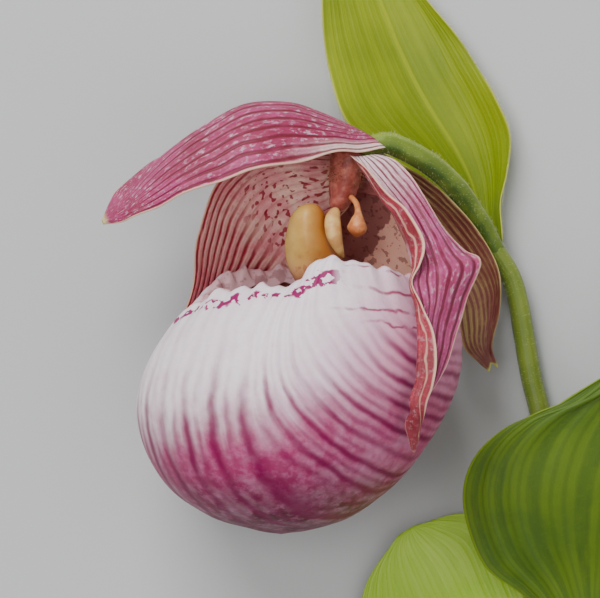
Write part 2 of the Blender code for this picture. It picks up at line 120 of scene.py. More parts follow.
PHOTO_PIXEL = 0.17          # real size of one photo pixel at the flower, in millimetres
PHOTO_ORIGIN = (300, 400)   # the photo pixel over the origin
PLACE_DIGITS = 1            # places are kept to a tenth of a millimetre


def seen(*points):
    """Points placed on the photo, as millimetres in the part's frame."""
    left, top = PHOTO_ORIGIN
    return [(round((across - left) * PHOTO_PIXEL, PLACE_DIGITS),
             round((top - down) * PHOTO_PIXEL, PLACE_DIGITS), height)
            for across, down, height in points]


# Blades, one net of rows each.
DORSAL_SEPAL_ROWS = [
    seen((366, 146, 17.0), (364, 136, 17.8), (362, 131, 20.5), (372, 136, 24.6), (386, 147, 25.9)),
    seen((350, 143, 13.0), (350, 132, 15.0), (349, 125, 20.0), (352, 134, 24.8), (358, 151, 27.0)),
    seen((328, 141, 10.5), (326, 121, 14.0), (324, 114, 20.5), (326, 130, 26.5), (328, 154, 29.2)),
    seen((296, 145, 9.5), (293, 115, 13.5), (290, 103, 21.5), (292, 125, 28.0), (294, 163, 31.0)),
    seen((256, 150, 10.5), (250, 115, 15.0), (246, 105, 22.5), (248, 130, 29.5), (250, 171, 32.5)),
    seen((222, 160, 13.0), (214, 128, 17.0), (208, 124, 23.5), (210, 150, 30.0), (212, 184, 32.5)),
    seen((188, 158, 16.0), (180, 147, 19.0), (173, 149, 24.5), (176, 172, 30.0), (178, 197, 32.0)),
    seen((150, 162, 19.0), (148, 166, 21.5), (147, 174, 25.0), (149, 192, 29.0), (150, 210, 30.5)),
    seen((119, 187, 23.0), (121, 193, 24.5), (124, 200, 26.0), (127, 210, 28.0), (128, 220, 29.0)),
    seen((101, 220, 26.0), (101.5, 221, 26.0), (102, 222, 26.1), (102.5, 223, 26.2), (103, 224, 26.3)),
]

NEAR_PETAL_ROWS = [
    seen((350, 155, 26.6), (354, 156, 26.2), (362, 156, 26.0), (370, 155, 26.0), (378, 154, 26.2)),
    seen((368, 170, 31.0), (364, 171, 29.6), (372, 168, 28.8), (384, 164, 28.9), (395, 160, 29.3)),
    seen((389, 195, 34.5), (381, 198, 32.8), (390, 190, 31.2), (401, 184, 31.3), (411, 176, 31.0)),
    seen((407, 211, 37.5), (396, 217, 35.4), (405, 210, 33.4), (415, 202, 33.2), (424, 196, 32.5)),
    seen((423, 240, 41.0), (408, 243, 38.4), (418, 236, 35.8), (430, 226, 35.2), (440, 224, 33.5)),
    seen((419, 265, 42.5), (413, 267, 41.0), (426, 262, 38.8), (444, 255, 37.2), (464, 250, 34.2)),
    seen((411, 284, 43.5), (410, 285, 42.7), (426, 280, 41.2), (451, 271, 39.0), (480, 263, 35.5)),
    seen((421, 306, 45.2), (415, 307, 44.0), (429, 301, 42.2), (446, 294, 40.5), (466, 300, 37.5)),
    seen((432, 330, 46.6), (417, 331, 45.4), (425, 330, 43.3), (438, 327, 41.4), (457, 328, 38.6)),
    seen((435, 361, 47.2), (417, 358, 46.3), (424, 357, 44.5), (434, 356, 42.8), (448, 358, 41.3)),
    seen((432, 384, 47.2), (415, 381, 46.8), (421, 382, 45.5), (428, 382, 44.5), (437, 380, 43.6)),
    seen((426, 401, 46.6), (410, 400, 47.0), (413, 401, 46.0), (417, 401, 45.2), (422, 401, 44.4)),
    seen((422, 418, 45.4), (415, 418, 46.2), (410, 418, 46.0), (407, 418, 45.2), (405, 418, 44.3)),
    seen((418, 434, 43.6), (415, 434, 44.1), (412, 434, 44.1), (409, 434, 43.7), (407, 434, 43.2)),
    seen((414.5, 449, 41.3), (414, 450, 41.3), (413.3, 450.5, 41.3), (412.5, 450.5, 41.2), (412, 450, 41.1)),
]

FAR_PETAL_ROWS = [
    [(7.2, 41.8, 18.6), (7.7, 41.2, 19.0), (8.2, 40.6, 19.0), (8.6, 40.3, 18.9), (9.1, 39.9, 18.7)],
    seen((322, 146, 16.8), (324, 160, 15.6), (328, 175, 14.6), (336, 190, 13.9), (350, 204, 13.6)),
    [*seen((284, 141, 16.0), (285, 160, 14.0), (290, 182, 12.3)), (0.2, 33.0, 11.0), (3.4, 28.6, 10.4)],
    [*seen((246, 152, 15.0), (252, 172, 12.8), (262, 195, 10.6)), (-3.6, 30.0, 8.8), (0.2, 25.2, 8.0)],
    [*seen((212, 188, 13.6), (224, 204, 11.0), (240, 226, 8.6)), (-6.8, 25.2, 6.5), (-3.2, 21.6, 5.0)],
    [*seen((197, 232, 12.0), (211, 248, 9.2), (226, 264, 7.0)), (-9.8, 20.3, 5.0), (-7.0, 17.8, 4.0)],
    seen((193, 272, 11.5), (204, 284, 8.6), (216, 296, 6.4), (229, 308, 4.6), (240, 319, 3.4)),
    seen((184, 308, 11.0), (192, 318, 8.4), (202, 328, 6.2), (213, 337, 4.3), (223, 345, 3.0)),
    seen((175, 340, 9.5), (181, 348, 7.4), (188, 356, 5.6), (196, 363, 4.2), (204, 369, 3.3)),
    seen((169, 370, 7.5), (173, 376, 6.2), (177, 382, 5.2), (181, 388, 4.4), (186, 394, 4.0)),
    seen((168, 398, 5.6), (169, 399.5, 5.5), (170, 401, 5.4), (171, 402, 5.4), (172, 403, 5.3)),
]

SYNSEPAL_ROWS = [
    seen((394, 160, 18.2), (391, 162, 17.6), (389, 164, 17.0), (387, 166, 16.5), (385, 168, 16.0)),
    seen((418, 173, 16.0), (412, 178, 14.8), (405, 184, 13.5), (398, 189, 12.8), (391, 193, 12.4)),
    seen((444, 190, 14.2), (435, 198, 12.6), (424, 208, 11.0), (413, 218, 10.0), (404, 226, 9.8)),
    seen((467, 213, 12.4), (458, 222, 10.6), (445, 234, 9.0), (431, 246, 8.4), (420, 255, 8.8)),
    seen((486, 240, 10.8), (478, 249, 9.3), (466, 260, 8.2), (452, 271, 8.0), (440, 280, 8.8)),
    seen((500, 266, 10.4), (493, 274, 9.3), (483, 283, 8.5), (470, 293, 8.7), (456, 303, 10.0)),
    seen((504, 285, 10.4), (498, 292, 9.4), (488, 300, 8.8), (475, 309, 9.2), (460, 318, 10.6)),
    seen((502, 308, 10.0), (497, 313, 9.2), (489, 320, 8.9), (476, 327, 9.4), (461, 333, 10.6)),
    seen((497, 331, 9.6), (493, 335, 9.1), (487, 340, 9.0), (477, 346, 9.5), (467, 350, 10.4)),
    seen((495, 350, 9.6), (493, 353, 9.3), (490, 357, 9.3), (486, 360, 9.5), (481, 363, 9.8)),
    seen((501, 368, 9.9), (498, 367, 9.7), (494, 365, 9.5), (493, 370, 9.5), (492, 373, 9.7)),
]

BRACT_ROWS = [
    [(31.0, 27.2, 4.6), (31.7, 26.9, 3.8), (32.8, 26.7, 3.5), (33.9, 26.9, 3.7), (35.0, 27.2, 4.8)],
    seen((462, 214, 5.2), (472, 215, 2.8), (484, 214, 1.0), (497, 210, 1.8), (505, 204, 4.6)),
    seen((435, 187, 7.2), (452, 183, 3.8), (474, 178, 0.9), (495, 173, 1.6), (510, 168, 5.2)),
    seen((400, 160, 9.2), (425, 151, 4.8), (455, 141, 1.3), (486, 133, 2.0), (513, 129, 5.6)),
    seen((362, 134, 10.0), (393, 118, 5.5), (432, 105, 1.7), (470, 97, 2.2), (500, 94, 5.4)),
    seen((342, 112, 9.6), (375, 91, 5.6), (414, 73, 2.0), (450, 62, 2.4), (480, 63, 4.8)),
    seen((330, 68, 8.2), (360, 50, 5.0), (396, 33, 2.1), (430, 23, 2.3), (458, 29, 4.2)),
    seen((323, 20, 6.6), (348, 6, 4.2), (378, -12, 2.1), (405, -18, 2.2), (428, -8, 3.6)),
    seen((322, -30, 4.8), (340, -40, 3.4), (360, -50, 2.1), (379, -54, 2.2), (395, -46, 3.0)),
    seen((328, -80, 3.2), (338, -86, 2.6), (350, -91, 2.0), (361, -93, 2.0), (370, -88, 2.4)),
    seen((341, -128, 1.8), (343, -129, 1.8), (345, -130, 1.8), (347, -130, 1.8), (349, -129, 1.8)),
]

LEAF_UPPER_ROWS = [
    seen((584, 668, 4.7), (588, 672, 5.1), (593, 674, 5.3), (598, 672, 5.2), (603, 668, 4.8)),
    seen((560, 630, 7.0), (580, 634, 7.4), (604, 632, 7.4), (628, 624, 6.8), (648, 612, 5.6)),
    seen((522, 594, 9.0), (560, 590, 9.6), (615, 580, 9.4), (668, 572, 6.8), (712, 560, 3.0)),
    seen((484, 565, 11.0), (535, 547, 13.0), (628, 530, 12.8), (712, 530, 8.2), (765, 515, 2.0)),
    seen((464, 508, 13.5), (525, 497, 16.0), (642, 480, 15.8), (742, 480, 9.8), (800, 460, 0.6)),
    seen((474, 462, 15.5), (535, 450, 18.0), (657, 430, 17.8), (750, 428, 10.8), (808, 405, 0.5)),
    seen((508, 427, 18.0), (565, 415, 20.0), (674, 382, 18.8), (752, 378, 11.8), (800, 352, 1.2)),
    seen((560, 407, 20.5), (612, 388, 21.5), (694, 336, 18.8), (755, 330, 12.8), (790, 305, 4.0)),
    seen((615, 370, 22.0), (655, 345, 21.5), (718, 292, 17.8), (757, 288, 13.0), (782, 268, 8.0)),
    seen((690, 310, 20.0), (708, 292, 19.0), (745, 255, 16.2), (765, 252, 14.0), (778, 240, 11.5)),
    seen((769, 228, 13.0), (770, 227, 13.0), (771, 226, 13.0), (772, 225, 13.0), (773, 224, 13.0)),
]

LEAF_LOWER_ROWS = [
    seen((598, 888, 4.9), (602, 886, 5.1), (607, 884, 5.2), (612, 882, 5.1), (616, 880, 4.8)),
    seen((560, 872, 4.4), (575, 860, 5.2), (590, 850, 5.6), (600, 838, 5.6), (606, 824, 5.3)),
    seen((500, 850, 1.8), (530, 830, 3.2), (555, 810, 4.4), (575, 785, 5.2), (590, 758, 5.6)),
    seen((440, 815, 0.6), (480, 785, 1.8), (515, 757, 3.2), (545, 725, 4.4), (567, 690, 4.9)),
    seen((395, 765, 0.5), (435, 732, 1.5), (475, 700, 2.6), (512, 665, 3.3), (540, 630, 3.4)),
    seen((368, 705, 0.6), (403, 672, 1.6), (442, 640, 2.4), (482, 606, 2.9), (518, 574, 3.0)),
    seen((359, 645, 1.2), (385, 618, 2.0), (418, 590, 2.6), (458, 558, 3.0), (503, 522, 3.0)),
    seen((367, 590, 1.9), (384, 574, 2.4), (406, 555, 2.8), (432, 537, 3.0), (462, 517, 3.0)),
    seen((398, 541, 2.8), (402, 538, 2.8), (408, 534, 2.9), (415, 530, 2.9), (422, 528, 2.9)),
]

STAMINODE_ROWS = [
    seen((300, 208, 24.6), (304, 206, 25.2), (309, 205, 25.4), (314, 205, 25.0), (318, 207, 24.2)),
    seen((292, 217, 23.8), (298, 215, 25.8), (307, 213, 26.8), (317, 213, 25.8), (324, 216, 23.8)),
    seen((288, 230, 23.4), (296, 229, 26.2), (307, 228, 27.4), (319, 229, 26.0), (328, 233, 23.2)),
    seen((286, 245, 23.2), (296, 245, 26.0), (309, 245, 27.2), (324, 246, 25.8), (336, 247, 22.8)),
    seen((287, 258, 23.2), (297, 259, 25.6), (311, 260, 26.6), (328, 260, 25.2), (341, 257, 22.6)),
    seen((291, 271, 23.4), (299, 273, 25.2), (312, 275, 25.9), (326, 273, 24.8), (338, 269, 22.8)),
    seen((298, 282, 23.8), (303, 284, 24.4), (311, 285, 24.6), (319, 284, 24.3), (327, 280, 23.6)),
]


# Rows from the bottom of the pouch to the turned-in rim:
# (left end x, left end y, right end x, right end y, half depth in z, centre z, share of rim rise)
POUCH_ROWS = [
    (-7.5, -22.2, 1.5, -22.2, 4.5, 25.0, 0.0),
    (-15.0, -20.0, 8.5, -20.0, 12.0, 25.0, 0.0),
    (-21.7, -15.6, 16.2, -14.4, 19.0, 25.0, 0.0),
    (-25.8, -9.9, 21.8, -7.5, 23.2, 25.0, 0.0),
    (-27.8, -3.2, 25.7, -0.6, 25.1, 25.0, 0.0),
    (-27.4, 2.3, 27.4, 5.0, 25.35, 25.0, 0.0),
    (-25.4, 7.6, 27.6, 10.5, 24.2, 25.0, 0.12),
    (-22.6, 11.8, 26.4, 15.3, 21.9, 25.0, 0.5),
    (-20.0, 14.6, 24.2, 18.4, 19.2, 24.8, 0.9),
    (-18.3, 15.3, 22.6, 19.4, 17.6, 24.7, 1.0),
    (-17.0, 14.6, 21.2, 18.9, 16.2, 24.6, 0.98),
    (-16.3, 12.8, 20.4, 17.4, 15.4, 24.6, 0.9),
]
POUCH_POLE = (-3.2, -22.9, 25.0)

# Points along the middle of each stalk, in millimetres.
OVARY_PATH = [
    (8.6, 43.5, 21.8),
    *seen((366, 146, 21.6), (385, 142, 21.2), (400, 146, 20.3), (424, 158, 17.8)),
    *seen((444, 173, 15.2), (461, 190, 12.4), (474, 208, 9.7), (486, 226, 7.3), (496, 245, 5.7)),
]

STEM_PATH = [
    (33.56, 25.86, 5.46),
    (36.3, 21.4, 4.0),
    *seen((522, 300, 3.5), (529, 340, 2.9), (536, 380, 2.6)),
    *seen((544, 413, 2.5), (556, 470, 2.4), (568, 540, 2.35), (578, 598, 2.3), (588, 650, 2.25)),
    *seen((596, 700, 2.2), (603, 780, 2.15), (607, 880, 2.1), (609, 980, 2.05)),
]

COLUMN_PATH = [
    (8.3, 41.8, 22.6),
    (7.9, 38.8, 22.4),
    (7.3, 35.7, 22.3),
    (6.4, 33.9, 22.6),
    (5.1, 33.0, 22.9),
]

STIGMA_PATH = [
    (6.3, 32.8, 24.9),
    (5.6, 30.8, 26.0),
    (5.8, 28.2, 26.9),
    (6.6, 25.8, 26.7),
    (7.5, 24.2, 26.0),
]

ANTHER_NEAR_PATH = [
    (8.7, 34.6, 24.0),
    (9.6, 33.5, 25.5),
    (9.9, 31.9, 26.7),
    (9.8, 30.5, 27.1),
    (9.7, 29.1, 27.1),
    (9.5, 27.7, 26.9),
]

ANTHER_FAR_PATH = [
    (6.2, 33.6, 20.4),
    (5.6, 32.2, 18.6),
    (5.0, 30.6, 17.4),
    (4.6, 29.2, 17.0),
    (4.4, 28.4, 16.9),
]

# Radius of each stalk at those points, in millimetres.
COLUMN_RADII = [2.9, 2.8, 2.4, 1.8, 1.0]
STIGMA_RADII = [0.6, 1.25, 1.3, 0.8, 0.3]
ANTHER_NEAR_RADII = [0.5, 0.5, 0.6, 1.25, 1.65, 0.5]
ANTHER_FAR_RADII = [0.5, 0.6, 1.4, 1.0, 0.4]
OVARY_RADII = [1.35, 1.6, 1.75, 1.85, 1.9, 1.9, 1.9, 1.85, 1.8, 1.75]
STEM_RADII = [1.7, 1.75, 1.75, 1.8, 1.8, 1.8, 1.85, 1.85, 1.85, 1.9, 1.9, 1.95, 2.0, 2.0]


# Curves and meshes


def spline_weights(count, steps):
    """Weights that turn count control values into a smooth run of steps + 1 values."""
    weights = np.zeros((steps + 1, count))
    spans = count - 1
    for i in range(steps + 1):
        scaled = i / steps * spans
        index = min(int(scaled), spans - 1)
        t = scaled - index
        parts = (
            (-t ** 3 + 2 * t ** 2 - t) / 2,
            (3 * t ** 3 - 5 * t ** 2 + 2) / 2,
            (-3 * t ** 3 + 4 * t ** 2 + t) / 2,
            (t ** 3 - t ** 2) / 2,
        )
        for k, part in zip(range(index - 1, index + 3), parts):
            if k < 0:
                weights[i, 0] += 2 * part
                weights[i, 1] -= part
            elif k >= count:
                weights[i, count - 1] += 2 * part
                weights[i, count - 2] -= part
            else:
                weights[i, k] += part
    return weights


def surface_normals(grid):
    """Unit normals of a grid of points."""
    along = np.gradient(grid, axis=0)
    across = np.gradient(grid, axis=1)
    normals = np.cross(along, across)
    length = np.linalg.norm(normals, axis=2, keepdims=True)
    return normals / np.maximum(length, 1e-9)


def finish_mesh(name, points, faces, uvs, slots, materials):
    """Closed, smooth-shaded object from points in millimetres, with a UV map and material slots."""
    mesh = bpy.data.meshes.new(name)
    mesh.from_pydata((np.asarray(points) * MM).tolist(), [], faces)
    layer = mesh.uv_layers.new(name="blade")
    flat = [coordinate for face in uvs for pair in face for coordinate in pair]
    layer.data.foreach_set("uv", flat)
    mesh.polygons.foreach_set("material_index", slots)
    for made in materials:
        mesh.materials.append(made)
    work = bmesh.new()
    work.from_mesh(mesh)
    bmesh.ops.remove_doubles(work, verts=work.verts, dist=MERGE_DISTANCE)
    bmesh.ops.recalc_face_normals(work, faces=work.faces)
    work.to_mesh(mesh)
    work.free()
    mesh.polygons.foreach_set("use_smooth", [True] * len(mesh.polygons))
    mesh.update()
    item = bpy.data.objects.new(name, mesh)
    bpy.context.scene.collection.objects.link(item)
    return item


def two_sided(name, first, second, labels, wrap, materials):
    """Thin closed sheet from its two faces; labels holds the UV pair of each grid point."""
    lines, width = first.shape[:2]
    count = lines * width
    points = np.concatenate([first.reshape(-1, 3), second.reshape(-1, 3)])
    spans = width - 1
    faces = []
    uvs = []
    slots = []

    def add(corners, slot):
        """Adds one face; each corner is (side, line, place)."""
        places = []
        pairs = []
        for side, i, j in corners:
            places.append(side * count + i * width + (j % spans if wrap else j))
            pairs.append(tuple(labels[i][j]))
        faces.append(places)
        uvs.append(pairs)
        slots.append(slot)

    for i in range(lines - 1):
        for j in range(spans):
            add(((0, i, j), (0, i, j + 1), (0, i + 1, j + 1), (0, i + 1, j)), 0)
            add(((1, i + 1, j), (1, i + 1, j + 1), (1, i, j + 1), (1, i, j)), 1)
    for j in range(spans):
        add(((1, 0, j), (1, 0, j + 1), (0, 0, j + 1), (0, 0, j)), 0)
        end = lines - 1
        add(((0, end, j), (0, end, j + 1), (1, end, j + 1), (1, end, j)), 0)
    if not wrap:
        for i in range(lines - 1):
            add(((0, i, 0), (0, i + 1, 0), (1, i + 1, 0), (1, i, 0)), 0)
            add(((0, i + 1, spans), (0, i, spans), (1, i, spans), (1, i + 1, spans)), 0)
    return finish_mesh(name, points, faces, uvs, slots, materials)


def net(rows, steps):
    """Smooth grid of points through control rows."""
    control = np.array(rows, dtype=float)
    along = spline_weights(control.shape[0], steps[0])
    across = spline_weights(control.shape[1], steps[1])
    return np.einsum("ai,ijk,bj->abk", along, control, across)


def blade(node, rows, steps, thickness, materials, relief=None, edge=0.16):
    """Petal or leaf through its control rows, thinner at the margins, with relief on both faces."""
    grid = net(rows, steps)
    u = np.linspace(0.0, 1.0, steps[0] + 1)[:, None] * np.ones((1, steps[1] + 1))
    v = np.linspace(0.0, 1.0, steps[1] + 1)[None, :] * np.ones((steps[0] + 1, 1))
    normals = surface_normals(grid)
    if relief is not None:
        grid = grid + normals * relief(u, v)[:, :, None]
        normals = surface_normals(grid)
    half = (edge + (thickness - edge) * (1.0 - np.abs(2.0 * v - 1.0) ** BLADE_FULLNESS)) / 2
    near_end = np.minimum(u, 1.0 - u) / BLADE_END
    ends = np.minimum(1.0, near_end * (1.0 - BLADE_END_LEAST) + BLADE_END_LEAST)
    half = (half * ends)[:, :, None]
    labels = np.stack([u, v], axis=2)
    item = two_sided(node + "_skin", grid + normals * half, grid - normals * half, labels, False,
                     materials)
    return take_place(item, node)


def smooth_path(points, steps):
    """Smooth run of points through a path."""
    return spline_weights(len(points), steps) @ np.array(points, dtype=float)


def smooth_radii(radii, steps):
    """Smooth run of radii along a path."""
    return smooth_path([(radius,) for radius in radii], steps)[:, 0]


def tube(node, path, radii, steps, materials, relief, round_ends=(0.0, 0.0)):
    """Stalk along a path; relief(u, angle) changes its radius, and the ends may be rounded off."""
    centre = smooth_path(path, steps[0])
    radius = smooth_radii(radii, steps[0])
    tangent = np.gradient(centre, axis=0)
    tangent /= np.linalg.norm(tangent, axis=1, keepdims=True)
    side = np.cross(tangent[0], (0.0, 0.0, 1.0))
    if np.linalg.norm(side) < 1e-3:
        side = np.cross(tangent[0], (1.0, 0.0, 0.0))
    rings = []
    angles = np.linspace(0.0, 2.0 * math.pi, steps[1] + 1)[:-1]
    share = np.linspace(0.0, 1.0, steps[0] + 1)
    for i in range(steps[0] + 1):
        side = side - tangent[i] * np.dot(side, tangent[i])
        side /= np.linalg.norm(side)
        up = np.cross(side, tangent[i])
        reach = radius[i] * np.ones(steps[1])
        for k, length in enumerate(round_ends):
            gap = share[i] if k == 0 else 1.0 - share[i]
            if length > 0.0 and gap < length:
                reach *= math.sqrt(max(1.0 - (1.0 - gap / length) ** 2, STALK_END_LEAST))
        reach = reach * (1.0 + relief(share[i], angles))
        ring = centre[i] + np.outer(np.cos(angles) * reach, side) + np.outer(np.sin(angles) * reach, up)
        rings.append(ring)
    width = steps[1]
    points = np.concatenate(rings + [centre[:1], centre[-1:]])
    faces = []
    uvs = []
    slots = []
    for i in range(steps[0]):
        for j in range(width):
            k = (j + 1) % width
            faces.append([i * width + j, i * width + k, (i + 1) * width + k, (i + 1) * width + j])
            uvs.append([(share[i], j / width), (share[i], (j + 1) / width),
                        (share[i + 1], (j + 1) / width), (share[i + 1], j / width)])
            slots.append(0)
    last = len(materials) - 1
    for end, hub in ((0, (steps[0] + 1) * width), (steps[0], (steps[0] + 1) * width + 1)):
        for j in range(width):
            k = (j + 1) % width
            faces.append([end * width + j, end * width + k, hub])
            uvs.append([(1.0, j / width), (1.0, (j + 1) / width), (0.0, j / width)])
            slots.append(last)
    return take_place(finish_mesh(node + "_skin", points, faces, uvs, slots, materials), node)


def hair_tuft(name, roots, material, thickness):
    """Fine hairs as three-sided cones; roots holds (root, tip) pairs in millimetres."""
    points = []
    faces = []
    for root, tip in roots:
        root = Vector(root)
        tip = Vector(tip)
        tip.z = max(tip.z, HAIR_TIP_HEIGHT)
        lean = tip - root
        side = lean.orthogonal().normalized()
        other = lean.cross(side).normalized()
        base = len(points)
        for k in range(HAIR_SIDES):
            angle = 2.0 * math.pi * k / HAIR_SIDES
            corner = root + (side * math.cos(angle) + other * math.sin(angle)) * thickness
            corner.z = max(corner.z, HAIR_ROOT_HEIGHT)
            points.append(corner)
        points.append(root + lean)
        for k in range(HAIR_SIDES):
            faces.append([base + k, base + (k + 1) % HAIR_SIDES, base + HAIR_SIDES])
        faces.append([base + 2, base + 1, base])
    uvs = [[(0.0, 0.0)] * 3 for _ in faces]
    slots = [0] * len(faces)
    return finish_mesh(name, [tuple(point) for point in points], faces, uvs, slots, [material])


def margin_roots(rows, count, length, seed):
    """Root and tip of hairs that point outward from both margins of a blade."""
    grid = net(rows, MARGIN_NET)
    chance = random.Random(seed)
    roots = []
    for _ in range(count):
        i = chance.randrange(MARGIN_CLEAR, MARGIN_NET[0] - MARGIN_CLEAR)
        edge, next_in = chance.choice(((0, 1), (-1, -2)))
        root = Vector(grid[i, edge])
        outward = (root - Vector(grid[i, next_in])).normalized()
        lean = outward + scatter(chance, MARGIN_SCATTER)
        tip = root + lean * length * chance.uniform(HAIR_SHORTEST, 1.0)
        roots.append((root - outward * HAIR_SINK, tip))
    return roots


def stalk_roots(path, radii, span, count, length, seed):
    """Root and tip of hairs that stand off a stalk between two shares of its path."""
    centre = smooth_path(path, STALK_HAIR_STEPS)
    radius = smooth_radii(radii, STALK_HAIR_STEPS)
    chance = random.Random(seed)
    roots = []
    for _ in range(count):
        i = int(chance.uniform(span[0], span[1]) * (STALK_HAIR_STEPS - 1))
        ahead = Vector(centre[i + 1] - centre[i]).normalized()
        side = ahead.orthogonal().normalized()
        turn = chance.uniform(0.0, 2.0 * math.pi)
        outward = side * math.cos(turn) + ahead.cross(side) * math.sin(turn)
        root = Vector(centre[i]) + outward * (radius[i] - HAIR_SINK)
        lean = outward + scatter(chance, STALK_SCATTER)
        tip = root + lean * (length * chance.uniform(HAIR_SHORTEST, 1.0) + HAIR_SINK)
        roots.append((root, tip))
    return roots


def scatter(chance, amount):
    """Small random vector."""
    return Vector([chance.uniform(-amount, amount) for _ in range(3)])


def take_place(item, *nodes):
    """The piece rides on the part's only body and stands for these solids."""
    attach(item, "root")
    if nodes:
        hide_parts(*nodes)
    return item


# Materials


def srgb(red, green, blue):
    """Linear colour from 0 to 255 screen values."""
    linear = []
    for value in (red, green, blue):
        share = value / 255.0
        linear.append(share / 12.92 if share <= 0.04045 else ((share + 0.055) / 1.055) ** 2.4)
    return (*linear, 1.0)


class Value:
    """Number that a shader works out at each point; it adds, subtracts and multiplies like one."""

    def __init__(self, graph, socket):
        self.graph = graph
        self.socket = socket

    def __add__(self, other):
        return self.graph.math("ADD", self, other)

    def __sub__(self, other):
        return self.graph.math("SUBTRACT", self, other)

    def __rsub__(self, other):
        return self.graph.math("SUBTRACT", other, self)

    def __mul__(self, other):
        return self.graph.math("MULTIPLY", self, other)

    def __abs__(self):
        return self.graph.math("ABSOLUTE", self)

    __radd__ = __add__
    __rmul__ = __mul__


class Graph:
    """Shorthand for the nodes of one material; ground is its colour so far."""

    def __init__(self, name, roughness=0.5, subsurface=0.0, sheen=0.0, specular=0.35):
        self.material = bpy.data.materials.new(name)
        self.material.use_nodes = True
        self.tree = self.material.node_tree
        self.shader = self.tree.nodes["Principled BSDF"]
        for key, value in (("Roughness", roughness), ("Subsurface Weight", subsurface),
                           ("Subsurface Radius", (1.0, 0.5, 0.4)), ("Subsurface Scale", 1.2 * MM),
                           ("Sheen Weight", sheen), ("Sheen Roughness", 0.4),
                           ("Specular IOR Level", specular)):
            self.shader.inputs[key].default_value = value
        self.place = self.add("ShaderNodeTexCoord").outputs["Object"]
        self.u, self.v, _ = self.split(self.add("ShaderNodeUVMap", uv_map="blade").outputs["UV"])
        self.x, self.y, self.z = (part * 1000.0 for part in self.split(self.place))
        self.ground = None

    def split(self, vector):
        """The three values of a vector."""
        made = self.add("ShaderNodeSeparateXYZ")
        self.put(made.inputs[0], vector)
        return [Value(self, output) for output in made.outputs]

    def add(self, kind, **settings):
        """New node with settings."""
        made = self.tree.nodes.new(kind)
        for key, value in settings.items():
            setattr(made, key, value)
        return made

    def put(self, socket, value):
        """Links an output to a socket, or sets the socket's value."""
        if isinstance(value, Value):
            value = value.socket
        if isinstance(value, bpy.types.NodeSocket):
            self.tree.links.new(value, socket)
        else:
            socket.default_value = value

    def math(self, operation, first, second=0.0):
        """One math node."""
        made = self.add("ShaderNodeMath", operation=operation)
        self.put(made.inputs[0], first)
        self.put(made.inputs[1], second)
        return Value(self, made.outputs[0])

    def smooth(self, value, low, high):
        """0 at low, 1 at high, smooth between; low may be the larger."""
        made = self.add("ShaderNodeMapRange", interpolation_type="SMOOTHSTEP")
        self.put(made.inputs["Value"], value)
        settings = (low, high, 0.0, 1.0) if low < high else (high, low, 1.0, 0.0)
        for key, number in zip(("From Min", "From Max", "To Min", "To Max"), settings):
            made.inputs[key].default_value = number
        return Value(self, made.outputs["Result"])

    def mix(self, share, first, second):
        """Colour between two."""
        made = self.add("ShaderNodeMix", data_type="RGBA")
        self.put(made.inputs["Factor"], share)
        for socket, colour in ((made.inputs[6], first), (made.inputs[7], second)):
            self.put(socket, srgb(*colour) if isinstance(colour, tuple) else colour)
        return made.outputs[2]

    def lay(self, share, colour):
        """Lays a colour over the ground, as far as share says."""
        self.ground = self.mix(share, self.ground, colour)

    def vector(self, x, y, z):
        """Vector from three values."""
        made = self.add("ShaderNodeCombineXYZ")
        for socket, value in zip(made.inputs, (x, y, z)):
            self.put(socket, value)
        return made.outputs[0]

    def noise(self, vector, scale, detail=2.0, rough=0.5):
        """Noise from about 0.3 to 0.7, centred on 0.5."""
        made = self.add("ShaderNodeTexNoise")
        self.put(made.inputs["Vector"], vector)
        for key, value in (("Scale", scale), ("Detail", detail), ("Roughness", rough)):
            made.inputs[key].default_value = value
        return Value(self, made.outputs["Fac"])

    def body_noise(self, scale_mm, detail=2.0, rough=0.5):
        """Noise with features of about the given size in millimetres."""
        return self.noise(self.place, 1000.0 / scale_mm, detail, rough)

    def lines(self, phase, count, width, soft=0.6):
        """Lines at count even places of phase 0 to 1; width is their share of the spacing."""
        away = abs(self.math("FRACT", phase * float(count)) - 0.5)
        return self.smooth(away, width * (0.5 + soft), width * 0.5 * (1.0 - soft))

    def bump(self, height, depth_mm, strength):
        """Relief on the shader's normal."""
        made = self.add("ShaderNodeBump")
        made.inputs["Strength"].default_value = strength
        made.inputs["Distance"].default_value = depth_mm * MM
        self.put(made.inputs["Height"], height)
        self.put(self.shader.inputs["Normal"], made.outputs[0])

    def colour(self, richness=1.15, brightness=1.0):
        """Gives the shader the ground colour, made richer and brighter by the given factors."""
        made = self.add("ShaderNodeHueSaturation")
        made.inputs["Saturation"].default_value = richness
        made.inputs["Value"].default_value = brightness
        self.put(made.inputs["Color"], self.ground)
        self.put(self.shader.inputs["Base Color"], made.outputs[0])
        return self.material


def leaf_veins(g, count, width, wobble=0.25, size=6.0):
    """Parallel veins along a blade, slightly wavy."""
    drift = (g.body_noise(size) - 0.5) * (wobble / count)
    return g.lines(g.v + drift, count, width)


def margin_mask(g, share):
    """1 on the outermost share of a blade's width, on both margins."""
    away = abs(g.v - 0.5)
    return g.smooth(away, 0.5 - share * 1.4, 0.5 - share * 0.6)


